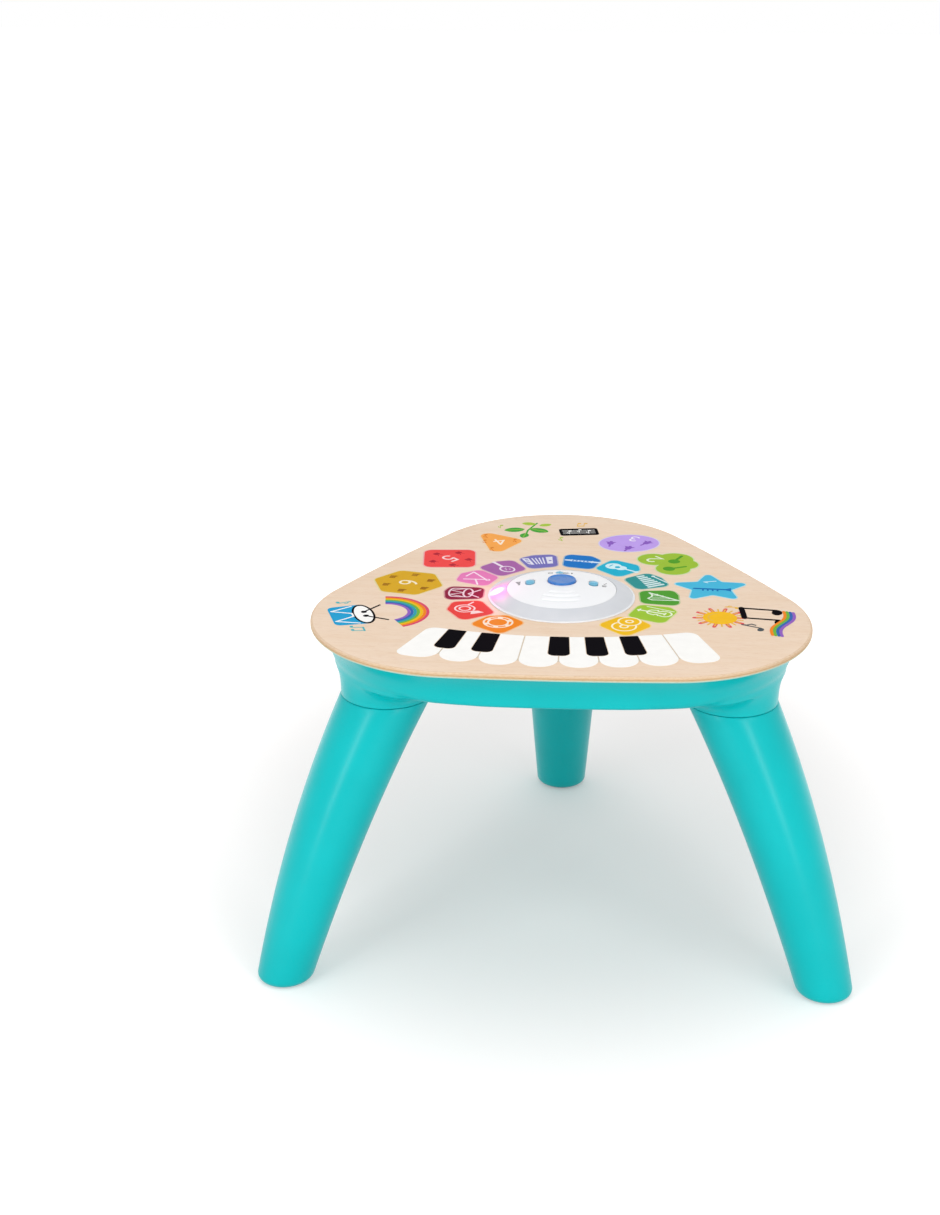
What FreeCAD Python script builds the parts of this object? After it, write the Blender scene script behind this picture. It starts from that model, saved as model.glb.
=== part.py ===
import FreeCAD, Part
import math
import os

os.makedirs("parts", exist_ok=True)

# Child's activity table with a printed touch piano.
# A plywood top sits on a moulded casing, and three legs plug into sockets under the casing.
# A domed control module sits in a hole in the top, inside a translucent light ring.
# The piano keys, the instrument pads and the number pads are coats of ink on the wood:
# a film of electrodes under the wood feels the finger.
# Millimetres. +X is the right hand of a child who faces the keys, +Y is away from the child.
# Everything is drawn about the axis of the dome, and the last step moves it so that the
# origin is on the floor, below the middle of the whole table.

# Wooden top
table_height = 318.0
wood_thickness = 5.6
wood_edge_round = 2.0
corner_reach = 104.0
corner_radius = 130.0
side_radius = 1834.0
module_hole_radius = 61.0

# Casing under the wood
rim_inset = 3.5
skirt_inset = 17.0
skirt_depth = 32.6
skirt_curve = 2.5
casing_wall = 2.6
casing_edge = 3.0
ledge_width = 9.0
ledge_depth = 3.0

# Leg sockets, which swell out of the casing's underside
socket_depth = 20.2
socket_reach = 173.6
bell_top_reach = 164.0
bell_spread = 66.0
bell_curve = 1.8
bell_margin = 1.0
bell_softness = 6
bell_base = 7.0
socket_tube_wall = 2.6
socket_tube_extra = 6.0

# Legs
foot_reach = 279.0
foot_radius = 25.0
leg_top_radius = 40.4
leg_bulge = 1.0
foot_splay = 16.6
leg_top_splay = 28.8
leg_wall = 3.0
foot_round = 6.5
spigot_radius = 32.0
spigot_length = 32.0
spigot_wall = 3.0
spigot_clearance = 0.3
seam_gap = 0.5
seam_collar = 1.6
leg_names = ("back", "left", "right")

# Rubber pads under the feet
foot_pad_radius = 17.0
foot_pad_height = 3.0
foot_pad_proud = 0.8
foot_pad_clearance = 0.1

# Control module
ring_outer_radius = 66.3
ring_lip = 1.0
ring_crown = 0.5
ring_height = 7.6
ring_wall = 2.0
ring_skirt_radius = 60.6
cap_radius = 49.5
cap_edge_height = 7.5
cap_apex_height = 12.5
cap_wall = 2.2
cap_edge_round = 0.8
cap_gap = 0.2
carrier_radius = 74.0
carrier_thickness = 3.0
boss_reach = 43.0
boss_radius = 3.2
boss_gap = 0.5

# Push button
button_y = 8.0
button_radius = 12.8
button_gap = 0.5
button_proud = 2.0
button_travel = 1.8
button_rim = 2.2
button_dish = 0.9
button_edge_round = 0.8
button_lip = 1.4
button_lip_height = 1.2
button_sleeve_wall = 1.6
button_sleeve_depth = 2.0
plunger_radius = 2.2
plunger_proud = 1.0
return_dome_base = 6.0
return_dome_crown = 3.2
return_dome_wall = 1.0

# Slide controls
side_slider_x = 28.6
side_slider_y = 7.0
side_slider_width = 8.2
side_slider_length = 11.0
side_slider_travel = 2.0
rear_slider_x = -2.5
rear_slider_y = 34.5
rear_slider_width = 5.4
rear_slider_length = 7.0
rear_slider_travel = 5.0
slider_proud = 1.3
slider_clearance = 0.6
grip_height = 0.9
grip_round = 0.35
grip_width_share = 0.72
grip_length_share = 0.3
rib_width = 0.8
rib_width_share = 0.6
carriage_margin = 2.0
carriage_thickness = 1.0
carriage_drop = 5.7
stem_width = 2.6
switch_width = 6.0
switch_length = 11.0
switch_height = 3.6

# Speaker and its grille
speaker_y = -27.0
speaker_radius = 18.0
speaker_depth = 11.3
speaker_flange = 1.2
speaker_flange_width = 1.8
speaker_post_radius = 1.1
speaker_post_gap = 0.3
basket_sheet = 1.0
cone_sheet = 0.6
surround_width = 3.0
surround_height = 0.5
speaker_lug_length = 3.0
speaker_top = 6.0
magnet_radius = 11.0
magnet_height = 5.0
grille_radii = (28.0, 36.0, 44.0)
grille_half_angles = (20.0, 25.0, 21.0)
grille_width = 2.6
grille_depth = 1.0
grille_slit = 0.9

# Boards
board_thickness = 1.6
control_board_radius = 44.0
control_board_front = -6.0
control_board_rise = 1.0
main_board_width = 80.0
main_board_length = 52.0
main_board_y = 14.0
standoff_height = 3.0
standoff_radius = 2.6
led_count = 12
led_size = 5.0
led_height = 1.6
led_reach = 54.0
led_board_width = 7.4
chip_size = 14.0
chip_height = 2.0
memory_size = 8.0
capacitor_radius = 4.0
capacitor_height = 9.0
plug_length = 6.0
plug_inset = 1.0
plug_wall = 3.0
ribbon_plug_height = 3.4
lead_plug_height = 5.0
sheet_thickness = 0.4
sheet_inset = 18.0
sheet_clearance = 2.0

# Battery compartment
battery_y = -95.0
cell_count = 3
cell_radius = 7.15
cell_length = 50.5
cell_nub = 1.4
cell_nub_radius = 2.6
cell_gap = 0.9
cell_lift = 1.4
contact_thickness = 0.5
contact_spring = 4.5
spring_radius = 4.2
spring_tip_radius = 2.8
spring_wire = 0.8
box_wall = 1.8
door_end = 14.0
door_gap = 0.4
door_screw_radius = 1.4
door_screw_head = 2.9
door_screw_head_height = 1.1
door_screw_head_gap = 0.3
door_screw_inset = 0.2
door_screw_length = 10.0
screw_running_gap = 0.08
door_boss_radius = 4.2
finger_groove_width = 1.2
finger_groove_depth = 0.6
finger_groove_pitch = 4.0

# Wood screws that hold the casing
screw_side_offset = 95.0
screw_inset = 36.0
screw_radius = 1.6
screw_head_radius = 3.2
screw_head_height = 2.2
screw_grip = 12.0
screw_bite = 3.6
screw_boss_radius = 5.0
screw_hole_clearance = 0.1
screw_head_gap = 0.4
screw_tip_gap = 0.5
drive_slot_width = 0.8
drive_slot_share = 0.6

# Small screws inside
small_screw_radius = 1.1
small_screw_head = 2.4
small_screw_head_height = 1.4
small_screw_bite = 6.0
small_wood_bite = 4.0

# Leads
lead_radius = 0.7
lead_spread = 3.0
lead_run = 15.0
ribbon_width = 12.0
ribbon_thickness = 0.3
ribbon_run = 5.0
ribbon_sag = 2.0

# Printed keys and pads
ink_thickness = 0.2
key_count = 8
key_pitch = 4.54
key_gap = 1.2
keyboard_reach = 277.0
keyboard_inner_radius = 375.0
keyboard_outer_radius = 443.0
key_end_round = 12.0
key_corner_round = 1.0
keyboard_end_round = 10.0
black_key_width = 18.7
black_key_length = 42.6
black_key_taper = 2.4
black_key_round = 6.0
black_key_places = (1, 2, 4, 5, 6)
pad_round = 7.0

# Corners of the twelve instrument pads
pads = {
    "yellow": ((52.0, -47.0), (68.0, -52.0), (80.5, -67.5), (57.0, -94.0), (32.5, -67.5)),
    "lime": ((70.0, -16.5), (97.0, -22.0), (103.0, -32.0), (90.0, -62.0), (58.5, -46.0)),
    "green": ((70.5, 18.0), (101.5, 21.0), (105.5, 9.0), (105.5, -17.5), (71.5, -12.5)),
    "teal": ((79.5, 66.0), (91.5, 53.5), (98.5, 33.0), (69.0, 21.5), (56.5, 49.0)),
    "cyan": ((47.0, 101.0), (70.5, 86.5), (72.0, 73.0), (52.0, 53.0), (30.0, 76.0)),
    "blue": ((2.0, 113.5), (27.0, 109.0), (35.5, 98.0), (27.5, 73.0), (0.0, 80.0)),
    "orange": ((-47.0, -49.5), (-30.5, -66.5), (-51.0, -94.5), (-79.0, -72.5), (-64.0, -52.5)),
    "red": ((-72.0, -14.5), (-58.0, -45.0), (-86.0, -64.5), (-101.0, -38.0), (-97.0, -19.0)),
    "maroon": ((-70.5, 18.0), (-71.0, -9.5), (-104.0, -14.0), (-106.0, 8.0), (-101.5, 20.0)),
    "pink": ((-58.5, 47.0), (-69.0, 22.0), (-98.0, 35.0), (-94.0, 55.0), (-77.0, 66.0)),
    "purple": ((-33.5, 69.5), (-57.0, 48.5), (-79.0, 72.0), (-63.0, 89.0), (-47.5, 94.0)),
    "violet": ((-4.5, 79.5), (-31.0, 71.0), (-42.0, 98.5), (-29.0, 108.5), (-7.0, 112.5)),
}

# Number pads
star_centre = (136.0, 30.5)
star_radius = 38.0
star_inner_radius = 18.5
star_round = 3.5
star_turn = 92.0
clover_lobes = ((86.0, 104.0, 15.5), (106.0, 105.0, 17.0), (103.0, 79.0, 16.0), (114.0, 92.0, 13.0))
oval_centre = (63.0, 149.0)
oval_radii = (29.0, 24.0)
oval_tilt = 15.0
triangle_corners = ((-38.0, 152.0), (-66.5, 106.0), (-86.0, 178.0))
triangle_round = 8.0
square_centre = (-107.5, 95.5)
square_radius = 34.0
square_round = 8.0
square_turn = 48.0
hexagon_centre = (-141.0, 28.0)
hexagon_radius = 33.0
hexagon_round = 7.0
hexagon_turn = 47.0

# Heights and places that follow from the sizes above
leg_azimuths = {name: 90.0 + i * 120.0 for i, name in enumerate(leg_names)}
wood_top = table_height
wood_bottom = table_height - wood_thickness
casing_bottom = wood_bottom - skirt_depth
casing_floor = casing_bottom + casing_wall
seam_z = casing_bottom - socket_depth
side_centre_reach = (
    math.sqrt((side_radius - corner_radius) ** 2 - (corner_reach * math.cos(math.radians(30))) ** 2)
    - corner_reach * math.sin(math.radians(30))
)
carrier_bottom = wood_bottom - carrier_thickness
control_board_top = wood_top + control_board_rise
main_board_top = carrier_bottom - standoff_height
main_board_bottom = main_board_top - board_thickness
carriage_z = wood_top + carriage_drop
cells_width = cell_count * 2 * cell_radius + (cell_count + 1) * cell_gap
box_length = cell_length + contact_spring + 2 * contact_thickness
box_top = casing_floor + cell_lift + 2 * cell_radius + cell_gap
door_length = box_length + 2 * door_end
door_screw_x = box_length / 2 + box_wall + door_boss_radius + cell_gap
key_fan_half = key_count * key_pitch / 2

UP = FreeCAD.Vector(0, 0, 1)


def vec(x, y, z=0.0):
    return FreeCAD.Vector(x, y, z)


def polar(reach, azimuth, z=0.0):
    angle = math.radians(azimuth)
    return vec(reach * math.cos(angle), reach * math.sin(angle), z)


def cylinder(radius, z0, z1, x=0.0, y=0.0):
    return Part.makeCylinder(radius, z1 - z0, vec(x, y, z0), UP)


def tube(outer, inner, z0, z1, x=0.0, y=0.0):
    return cylinder(outer, z0, z1, x, y).cut(cylinder(inner, z0, z1, x, y))


def block(width, length, z0, z1, x=0.0, y=0.0):
    return Part.makeBox(width, length, z1 - z0, vec(x - width / 2, y - length / 2, z0))


def revolve(profile):
    face = Part.Face(Part.Wire(profile))
    return face.revolve(vec(0, 0, 0), UP, 360)


def segment(a, b):
    return Part.LineSegment(vec(a[0], 0, a[1]), vec(b[0], 0, b[1])).toShape()


def bow(a, middle, b):
    return Part.Arc(vec(a[0], 0, a[1]), vec(middle[0], 0, middle[1]), vec(b[0], 0, b[1])).toShape()


def fuse_all(shapes):
    result = shapes[0]
    for shape in shapes[1:]:
        result = result.fuse(shape)
    return result.removeSplitter()


def rounded_face(points, radii, z):
    """Flat face with straight sides whose corners are rounded to the given radii."""
    edges = []
    starts = []
    ends = []
    middles = []
    count = len(points)
    for i in range(count):
        corner = vec(points[i][0], points[i][1], z)
        before = vec(points[i - 1][0], points[i - 1][1], z)
        after = vec(points[(i + 1) % count][0], points[(i + 1) % count][1], z)
        to_before = (before - corner).normalize()
        to_after = (after - corner).normalize()
        half = to_before.getAngle(to_after) / 2
        setback = radii[i] / math.tan(half)
        bisector = (to_before + to_after).normalize()
        starts.append(corner + to_before * setback)
        ends.append(corner + to_after * setback)
        middles.append(corner + bisector * (radii[i] / math.sin(half) - radii[i]))
    for i in range(count):
        edges.append(Part.Arc(starts[i], middles[i], ends[i]).toShape())
        edges.append(Part.LineSegment(ends[i], starts[(i + 1) % count]).toShape())
    return Part.Face(Part.Wire(edges))


def stadium(length, width, z0, z1, x, y, along_y):
    """Upright slot shape with round ends."""
    straight = (length - width) / 2
    if along_y:
        bar = block(width, 2 * straight, z0, z1, x, y)
        ends = [cylinder(width / 2, z0, z1, x, y + side * straight) for side in (-1, 1)]
    else:
        bar = block(2 * straight, width, z0, z1, x, y)
        ends = [cylinder(width / 2, z0, z1, x + side * straight, y) for side in (-1, 1)]
    return fuse_all([bar] + ends)


def outline(inset, z):
    """Rounded triangle of the table, drawn in from the edge of the wood by an inset."""
    edges = []
    for leg_angle in leg_azimuths.values():
        corner = polar(corner_reach, leg_angle, z)
        radius = corner_radius - inset
        side_angle = leg_angle + 60.0
        side = polar(-side_centre_reach, side_angle, z)
        next_corner = polar(corner_reach, leg_angle + 120.0, z)
        last_side = polar(-side_centre_reach, side_angle - 120.0, z)
        start = corner + (corner - last_side).normalize() * radius
        end = corner + (corner - side).normalize() * radius
        next_start = next_corner + (next_corner - side).normalize() * radius
        edges.append(Part.Arc(start, corner + polar(radius, leg_angle), end).toShape())
        edges.append(Part.Arc(end, side + polar(side_radius - inset, side_angle), next_start).toShape())
    return Part.Wire(edges)


def plate(inset, z0, z1):
    return Part.Face(outline(inset, z0)).extrude(vec(0, 0, z1 - z0))


def cap_height(x, y):
    """Height of the dome's skin at a place on the cap."""
    sag = cap_apex_height - cap_edge_height
    sphere = (cap_radius ** 2 + sag ** 2) / (2 * sag)
    drop = sphere - math.sqrt(sphere ** 2 - x ** 2 - y ** 2)
    return wood_top + cap_apex_height - drop


# Legs

def leg_reach(z):
    """Distance from the table's axis to the middle of the leg: steep at the foot, splayed above."""
    t = z / seam_z
    start_slope = -math.tan(math.radians(foot_splay)) * seam_z
    end_slope = -math.tan(math.radians(leg_top_splay)) * seam_z
    at_foot = (2 * t ** 3 - 3 * t ** 2 + 1) * foot_reach + (t ** 3 - 2 * t ** 2 + t) * start_slope
    at_seam = (3 * t ** 2 - 2 * t ** 3) * socket_reach + (t ** 3 - t ** 2) * end_slope
    return at_foot + at_seam


def leg_radius(z):
    t = z / seam_z
    return foot_radius + (leg_top_radius - foot_radius) * t + 4 * leg_bulge * t * (1 - t)


def leg_section(z, inset, azimuth):
    """Level cut through a leg, drawn in from its skin by an inset."""
    centre = polar(leg_reach(z), azimuth, z)
    return Part.Wire(Part.makeCircle(leg_radius(z) - inset, centre, UP))


def leg_loft(z0, z1, inset, azimuth):
    steps = 6
    wires = [leg_section(z0 + (z1 - z0) * i / steps, inset, azimuth) for i in range(steps + 1)]
    return Part.makeLoft(wires, True, False)


def make_leg(azimuth):
    top = seam_z - seam_gap
    outer = leg_loft(foot_pad_proud, top, 0.0, azimuth)
    bottom_edges = [e for e in outer.Edges if e.BoundBox.ZMax < foot_pad_proud + 0.01]
    outer = outer.makeFillet(foot_round, bottom_edges)
    axis = polar(socket_reach, azimuth)
    floor_z = foot_pad_height + leg_wall
    inner = leg_loft(floor_z, top - leg_wall, leg_wall, azimuth)
    collar = cylinder(spigot_radius + seam_collar, top, seam_z, axis.x, axis.y)
    spigot = cylinder(spigot_radius, seam_z, seam_z + spigot_length, axis.x, axis.y)
    bore = cylinder(spigot_radius - spigot_wall, top - leg_wall, seam_z + spigot_length, axis.x, axis.y)
    foot = polar(leg_reach(0), azimuth)
    recess = cylinder(foot_pad_radius + foot_pad_clearance, 0, foot_pad_height, foot.x, foot.y)
    return fuse_all([outer, collar, spigot]).cut(inner).cut(bore).cut(recess)


def make_foot_pad(azimuth):
    foot = polar(leg_reach(0), azimuth)
    return cylinder(foot_pad_radius, 0, foot_pad_height, foot.x, foot.y)


# Casing

def skirt_inset_at(z):
    rise = (z - casing_bottom) / skirt_depth
    return skirt_inset - (skirt_inset - rim_inset) * rise ** skirt_curve


def skirt_loft(z0, z1, wall):
    steps = 5
    heights = [z0 + (z1 - z0) * i / steps for i in range(steps + 1)]
    wires = [outline(skirt_inset_at(z) + wall, z) for z in heights]
    return Part.makeLoft(wires, True, False)


def lower_edge_wires():
    """Outlines down the rounded lower edge of the casing."""
    start = skirt_inset_at(casing_bottom + casing_edge)
    wires = []
    for turn in (0.0, 30.0, 60.0, 90.0):
        angle = math.radians(turn)
        drop = casing_edge * math.sin(angle)
        wires.append(outline(start + casing_edge * (1 - math.cos(angle)), casing_bottom + casing_edge - drop))
    return wires


def edge_distance(x, y, azimuth, angle, inset):
    """Distance from a point to the casing's corner arc, along a direction."""
    corner = polar(corner_reach, azimuth)
    direction = polar(1.0, angle)
    offset = vec(x, y) - corner
    along = offset.dot(direction)
    radius = corner_radius - inset
    return -along + math.sqrt(along ** 2 + radius ** 2 - offset.dot(offset))


def bell_section(level, wall, azimuth):
    """Level cut through a socket: the leg's circle at the seam, spread towards the skirt above."""
    z = seam_z + socket_depth * level
    reach = socket_reach + (bell_top_reach - socket_reach) * level
    centre = polar(reach, azimuth)
    spread = level ** bell_curve
    points = []
    count = 24
    for i in range(count):
        direction = azimuth + 360.0 * i / count
        room = edge_distance(centre.x, centre.y, azimuth, direction, skirt_inset + bell_margin)
        wide = (room ** -bell_softness + bell_spread ** -bell_softness) ** (-1 / bell_softness)
        radius = leg_top_radius + (wide - leg_top_radius) * spread - wall
        points.append(centre + polar(radius, direction, z))
    curve = Part.BSplineCurve()
    curve.interpolate(Points=points, PeriodicFlag=True)
    return Part.Wire(curve.toShape())


def bell(start_level, wall, azimuth):
    """Flared socket body, with a short straight collar that joins it to the skirt."""
    levels = [start_level + (1 - start_level) * step for step in (0.0, 0.3, 0.55, 0.75, 0.9, 1.0)]
    flare = Part.makeLoft([bell_section(level, wall, azimuth) for level in levels], True, False)
    top = Part.Face(bell_section(1.0, wall, azimuth))
    collar = top.extrude(vec(0, 0, casing_wall + wall / 2 + bell_margin))
    return flare.fuse(collar)


def wood_screw_places():
    places = []
    for side in (270.0, 30.0, 150.0):
        middle = side_radius - side_centre_reach - screw_inset
        for shift in (-screw_side_offset, 0.0, screw_side_offset):
            places.append(polar(middle, side) + polar(shift, side + 90.0))
    return places


def make_base_shell():
    skirt = skirt_loft(casing_bottom + casing_edge, wood_bottom, 0.0)
    shell = skirt.fuse(Part.makeLoft(lower_edge_wires(), True, True))
    for azimuth in leg_azimuths.values():
        shell = shell.fuse(bell(0.0, 0.0, azimuth))

    ledge_bottom = wood_bottom - ledge_depth
    hollow = skirt_loft(casing_floor, ledge_bottom, casing_wall)
    mouth = plate(skirt_inset_at(ledge_bottom) + ledge_width, ledge_bottom, wood_bottom)
    hollow = hollow.fuse(mouth)
    for azimuth in leg_azimuths.values():
        hollow = hollow.fuse(bell(bell_base / socket_depth, casing_wall, azimuth))
    shell = shell.cut(hollow)

    tube_top = seam_z + spigot_length + socket_tube_extra
    bore_radius = spigot_radius + spigot_clearance
    for azimuth in leg_azimuths.values():
        axis = polar(socket_reach, azimuth)
        shell = shell.fuse(cylinder(bore_radius + socket_tube_wall, seam_z, tube_top, axis.x, axis.y))
        shell = shell.cut(cylinder(bore_radius, seam_z, tube_top, axis.x, axis.y))

    head_seat = wood_bottom - screw_grip
    for place in wood_screw_places():
        boss = cylinder(screw_boss_radius, casing_bottom, wood_bottom, place.x, place.y)
        well = cylinder(screw_head_radius + screw_head_gap, casing_bottom, head_seat, place.x, place.y)
        hole = cylinder(screw_radius + screw_hole_clearance, head_seat, wood_bottom, place.x, place.y)
        shell = shell.fuse(boss).cut(well).cut(hole)

    opening = block(
        door_length + 2 * door_gap, cells_width + 2 * door_gap, casing_bottom, casing_floor, 0, battery_y
    )
    shell = shell.cut(opening)
    for side in (-1, 1):
        seat_start = box_length / 2 + box_wall + door_gap
        seat_end = door_length / 2 + door_gap + casing_wall
        seat_width = seat_end - seat_start
        seat_x = side * (seat_start + seat_end) / 2
        seat_length = cells_width + 2 * door_gap + 2 * casing_wall
        seat = block(seat_width, seat_length, casing_floor, casing_floor + casing_wall, seat_x, battery_y)
        boss = cylinder(
            door_boss_radius, casing_floor, casing_floor + door_screw_length, side * door_screw_x, battery_y
        )
        hole = cylinder(
            door_screw_radius + screw_running_gap,
            casing_floor,
            casing_floor + door_screw_length,
            side * door_screw_x,
            battery_y,
        )
        shell = shell.fuse(seat).fuse(boss).cut(hole)
    return shell.removeSplitter()


# Wooden top

def make_top_panel():
    panel = plate(0.0, wood_bottom, wood_top)
    top_edges = [e for e in panel.Edges if e.BoundBox.ZMin > wood_top - 0.01]
    panel = panel.makeFillet(wood_edge_round, top_edges)
    panel = panel.cut(cylinder(module_hole_radius, wood_bottom, wood_top))
    for place in wood_screw_places():
        radius = screw_radius + screw_hole_clearance
        tip = wood_bottom + screw_bite + screw_tip_gap
        panel = panel.cut(cylinder(radius, wood_bottom, tip, place.x, place.y))
    for place in carrier_screw_places():
        radius = small_screw_radius + screw_hole_clearance
        tip = wood_bottom + small_wood_bite + screw_tip_gap
        panel = panel.cut(cylinder(radius, wood_bottom, tip, place.x, place.y))
    return panel


def drive_cross(head_radius, z, depth, place):
    """Crossed slots in a screw head, cut upwards from its face."""
    reach = 2 * head_radius * drive_slot_share
    across = block(reach, drive_slot_width, z, z + depth, place.x, place.y)
    along = block(drive_slot_width, reach, z, z + depth, place.x, place.y)
    return across.fuse(along)


def make_wood_screws():
    screws = []
    seat = wood_bottom - screw_grip
    for place in wood_screw_places():
        head = cylinder(screw_head_radius, seat - screw_head_height, seat, place.x, place.y)
        shank = cylinder(screw_radius, seat, wood_bottom + screw_bite, place.x, place.y)
        drive = drive_cross(screw_head_radius, seat - screw_head_height, screw_head_height / 2, place)
        screws.append(head.fuse(shank).cut(drive).removeSplitter())
    return Part.makeCompound(screws)


# Control module

def boss_places():
    return [polar(boss_reach, angle) for angle in (45.0, 135.0, 225.0, 315.0)]


def carrier_screw_places():
    middle = (module_hole_radius + carrier_radius) / 2
    return [polar(middle, angle) for angle in (0.0, 90.0, 180.0, 270.0)]


def board_post_places():
    return [vec(x, y) for x in (-20.0, 20.0) for y in (-2.0, 24.0)]


def standoff_places():
    inset = 2 * standoff_radius
    half_width = main_board_width / 2 - inset
    half_length = main_board_length / 2 - inset
    return [vec(x * half_width, main_board_y + y * half_length) for x in (-1, 1) for y in (-1, 1)]


def make_light_ring():
    inner = cap_radius + cap_gap
    slope = (ring_height - ring_lip) / (ring_outer_radius - inner)
    skirt_inner = ring_skirt_radius - ring_wall
    under = ring_height - ring_wall - slope * (skirt_inner - inner)
    top = [
        (ring_outer_radius, wood_top + ring_lip),
        ((ring_outer_radius + inner) / 2, wood_top + (ring_lip + ring_height) / 2 + ring_crown),
        (inner, wood_top + ring_height),
    ]
    points = [
        top[2],
        (inner, wood_top + ring_height - ring_wall),
        (skirt_inner, wood_top + under),
        (skirt_inner, wood_bottom),
        (ring_skirt_radius, wood_bottom),
        (ring_skirt_radius, wood_top),
        (ring_outer_radius, wood_top),
        top[0],
    ]
    edges = [segment(a, b) for a, b in zip(points, points[1:])]
    edges.append(bow(top[0], top[1], top[2]))
    return revolve(edges)


def slot_sizes():
    """Place, length, width and direction of each slot in the cap."""
    side_length = side_slider_length + 2 * side_slider_travel + slider_clearance
    side_width = side_slider_width + slider_clearance
    rear_length = rear_slider_length + rear_slider_travel + slider_clearance
    rear_width = rear_slider_width + slider_clearance
    rear_x = rear_slider_x + rear_slider_travel / 2
    return [
        (-side_slider_x, side_slider_y, side_length, side_width, True),
        (side_slider_x, side_slider_y, side_length, side_width, True),
        (rear_x, rear_slider_y, rear_length, rear_width, False),
    ]


def grille_cut(radius, half_angle, width, z0, z1):
    """Curved slot with round ends, centred on the push button."""
    ring = tube(radius + width / 2, radius - width / 2, z0, z1, 0, button_y)
    wedge_reach = 2 * radius
    left = polar(wedge_reach, 270.0 - half_angle)
    right = polar(wedge_reach, 270.0 + half_angle)
    middle = vec(0, button_y, z0)
    corners = [middle, middle + left, middle + right, middle]
    wedge = Part.Face(Part.makePolygon(corners)).extrude(vec(0, 0, z1 - z0))
    slot = ring.common(wedge)
    for angle in (270.0 - half_angle, 270.0 + half_angle):
        end = vec(0, button_y) + polar(radius, angle)
        slot = slot.fuse(cylinder(width / 2, z0, z1, end.x, end.y))
    return slot


def make_dome_cap():
    sag = cap_apex_height - cap_edge_height
    sphere = (cap_radius ** 2 + sag ** 2) / (2 * sag)
    centre_z = wood_top + cap_apex_height - sphere
    outer = cylinder(cap_radius, wood_bottom, wood_top + cap_apex_height)
    outer = outer.common(Part.makeSphere(sphere, vec(0, 0, centre_z)))
    rim = [e for e in outer.Edges if abs(e.BoundBox.ZMin - wood_top - cap_edge_height) < 0.1]
    outer = outer.makeFillet(cap_edge_round, rim)
    inner = cylinder(cap_radius - cap_wall, wood_bottom, wood_top + cap_apex_height)
    inner = inner.common(Part.makeSphere(sphere - cap_wall, vec(0, 0, centre_z)))
    cap = outer.cut(inner)
    under_dome = cylinder(cap_radius - cap_wall / 2, wood_bottom, wood_top + cap_apex_height)
    under_dome = under_dome.common(Part.makeSphere(sphere - cap_wall / 2, vec(0, 0, centre_z)))

    hole_radius = button_radius + button_gap
    sleeve_bottom = button_lip_top()
    sleeve_radius = hole_radius + button_sleeve_wall
    sleeve = tube(sleeve_radius, hole_radius, sleeve_bottom, wood_top + cap_apex_height, 0, button_y)
    speaker_seat = tube(
        speaker_radius,
        speaker_radius - speaker_flange_width,
        wood_top + speaker_top,
        wood_top + cap_apex_height,
        0,
        speaker_y,
    )
    cap = cap.fuse(sleeve.common(under_dome)).fuse(speaker_seat.common(under_dome))
    for place in boss_places():
        boss = cylinder(boss_radius, wood_bottom, wood_top + cap_apex_height, place.x, place.y)
        hole = cylinder(
            small_screw_radius + screw_hole_clearance,
            wood_bottom,
            wood_bottom + small_screw_bite + screw_tip_gap,
            place.x,
            place.y,
        )
        cap = cap.fuse(boss.common(under_dome)).cut(hole)
    cap = cap.cut(cylinder(hole_radius, sleeve_bottom, wood_top + 2 * cap_apex_height, 0, button_y))
    for x, y, length, width, along_y in slot_sizes():
        cap = cap.cut(stadium(length, width, wood_top, wood_top + 2 * cap_apex_height, x, y, along_y))
    flange_top = wood_top + speaker_top
    skin = Part.makeSphere(sphere + cap_wall, vec(0, 0, centre_z))
    skin = skin.cut(Part.makeSphere(sphere - grille_depth, vec(0, 0, centre_z)))
    for radius, half_angle in zip(grille_radii, grille_half_angles):
        groove = grille_cut(radius, half_angle, grille_width, wood_top, wood_top + 2 * cap_apex_height)
        slit = grille_cut(radius, half_angle, grille_slit, flange_top, wood_top + 2 * cap_apex_height)
        cap = cap.cut(groove.common(skin)).cut(slit)
    return cap.removeSplitter()


def button_lip_top():
    return cap_height(0, button_y) - cap_wall - button_sleeve_depth


def make_play_button():
    top = cap_height(0, button_y) + button_proud
    lip_top = button_lip_top()
    lip_bottom = lip_top - button_lip_height
    body = cylinder(button_radius, lip_bottom, top, 0, button_y)
    body = body.makeFillet(button_edge_round, [e for e in body.Edges if e.BoundBox.ZMin > top - 0.01])
    dish_radius = button_radius - button_rim
    dish_floor = vec(0, button_y, top - button_dish)
    dish = Part.makeCone(dish_radius - button_dish, dish_radius, button_dish, dish_floor, UP)
    lip = cylinder(button_radius + button_lip, lip_bottom, lip_top, 0, button_y)
    hollow = cylinder(button_radius - cap_wall, lip_bottom, top - 2 * cap_wall, 0, button_y)
    plunger = cylinder(plunger_radius, lip_bottom - plunger_proud, top - cap_wall, 0, button_y)
    return body.cut(dish).fuse(lip).cut(hollow).fuse(plunger).removeSplitter()


def make_button_return_dome():
    """Rubber dome that pushes the button back up."""
    height = button_lip_top() - button_lip_height - plunger_proud - control_board_top
    foot = vec(0, button_y, control_board_top)
    outer = Part.makeCone(return_dome_base, return_dome_crown, height, foot, UP)
    base = return_dome_base - return_dome_wall
    crown = return_dome_crown - return_dome_wall
    inner = Part.makeCone(base, crown, height - return_dome_wall, foot, UP)
    return outer.cut(inner)


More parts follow.
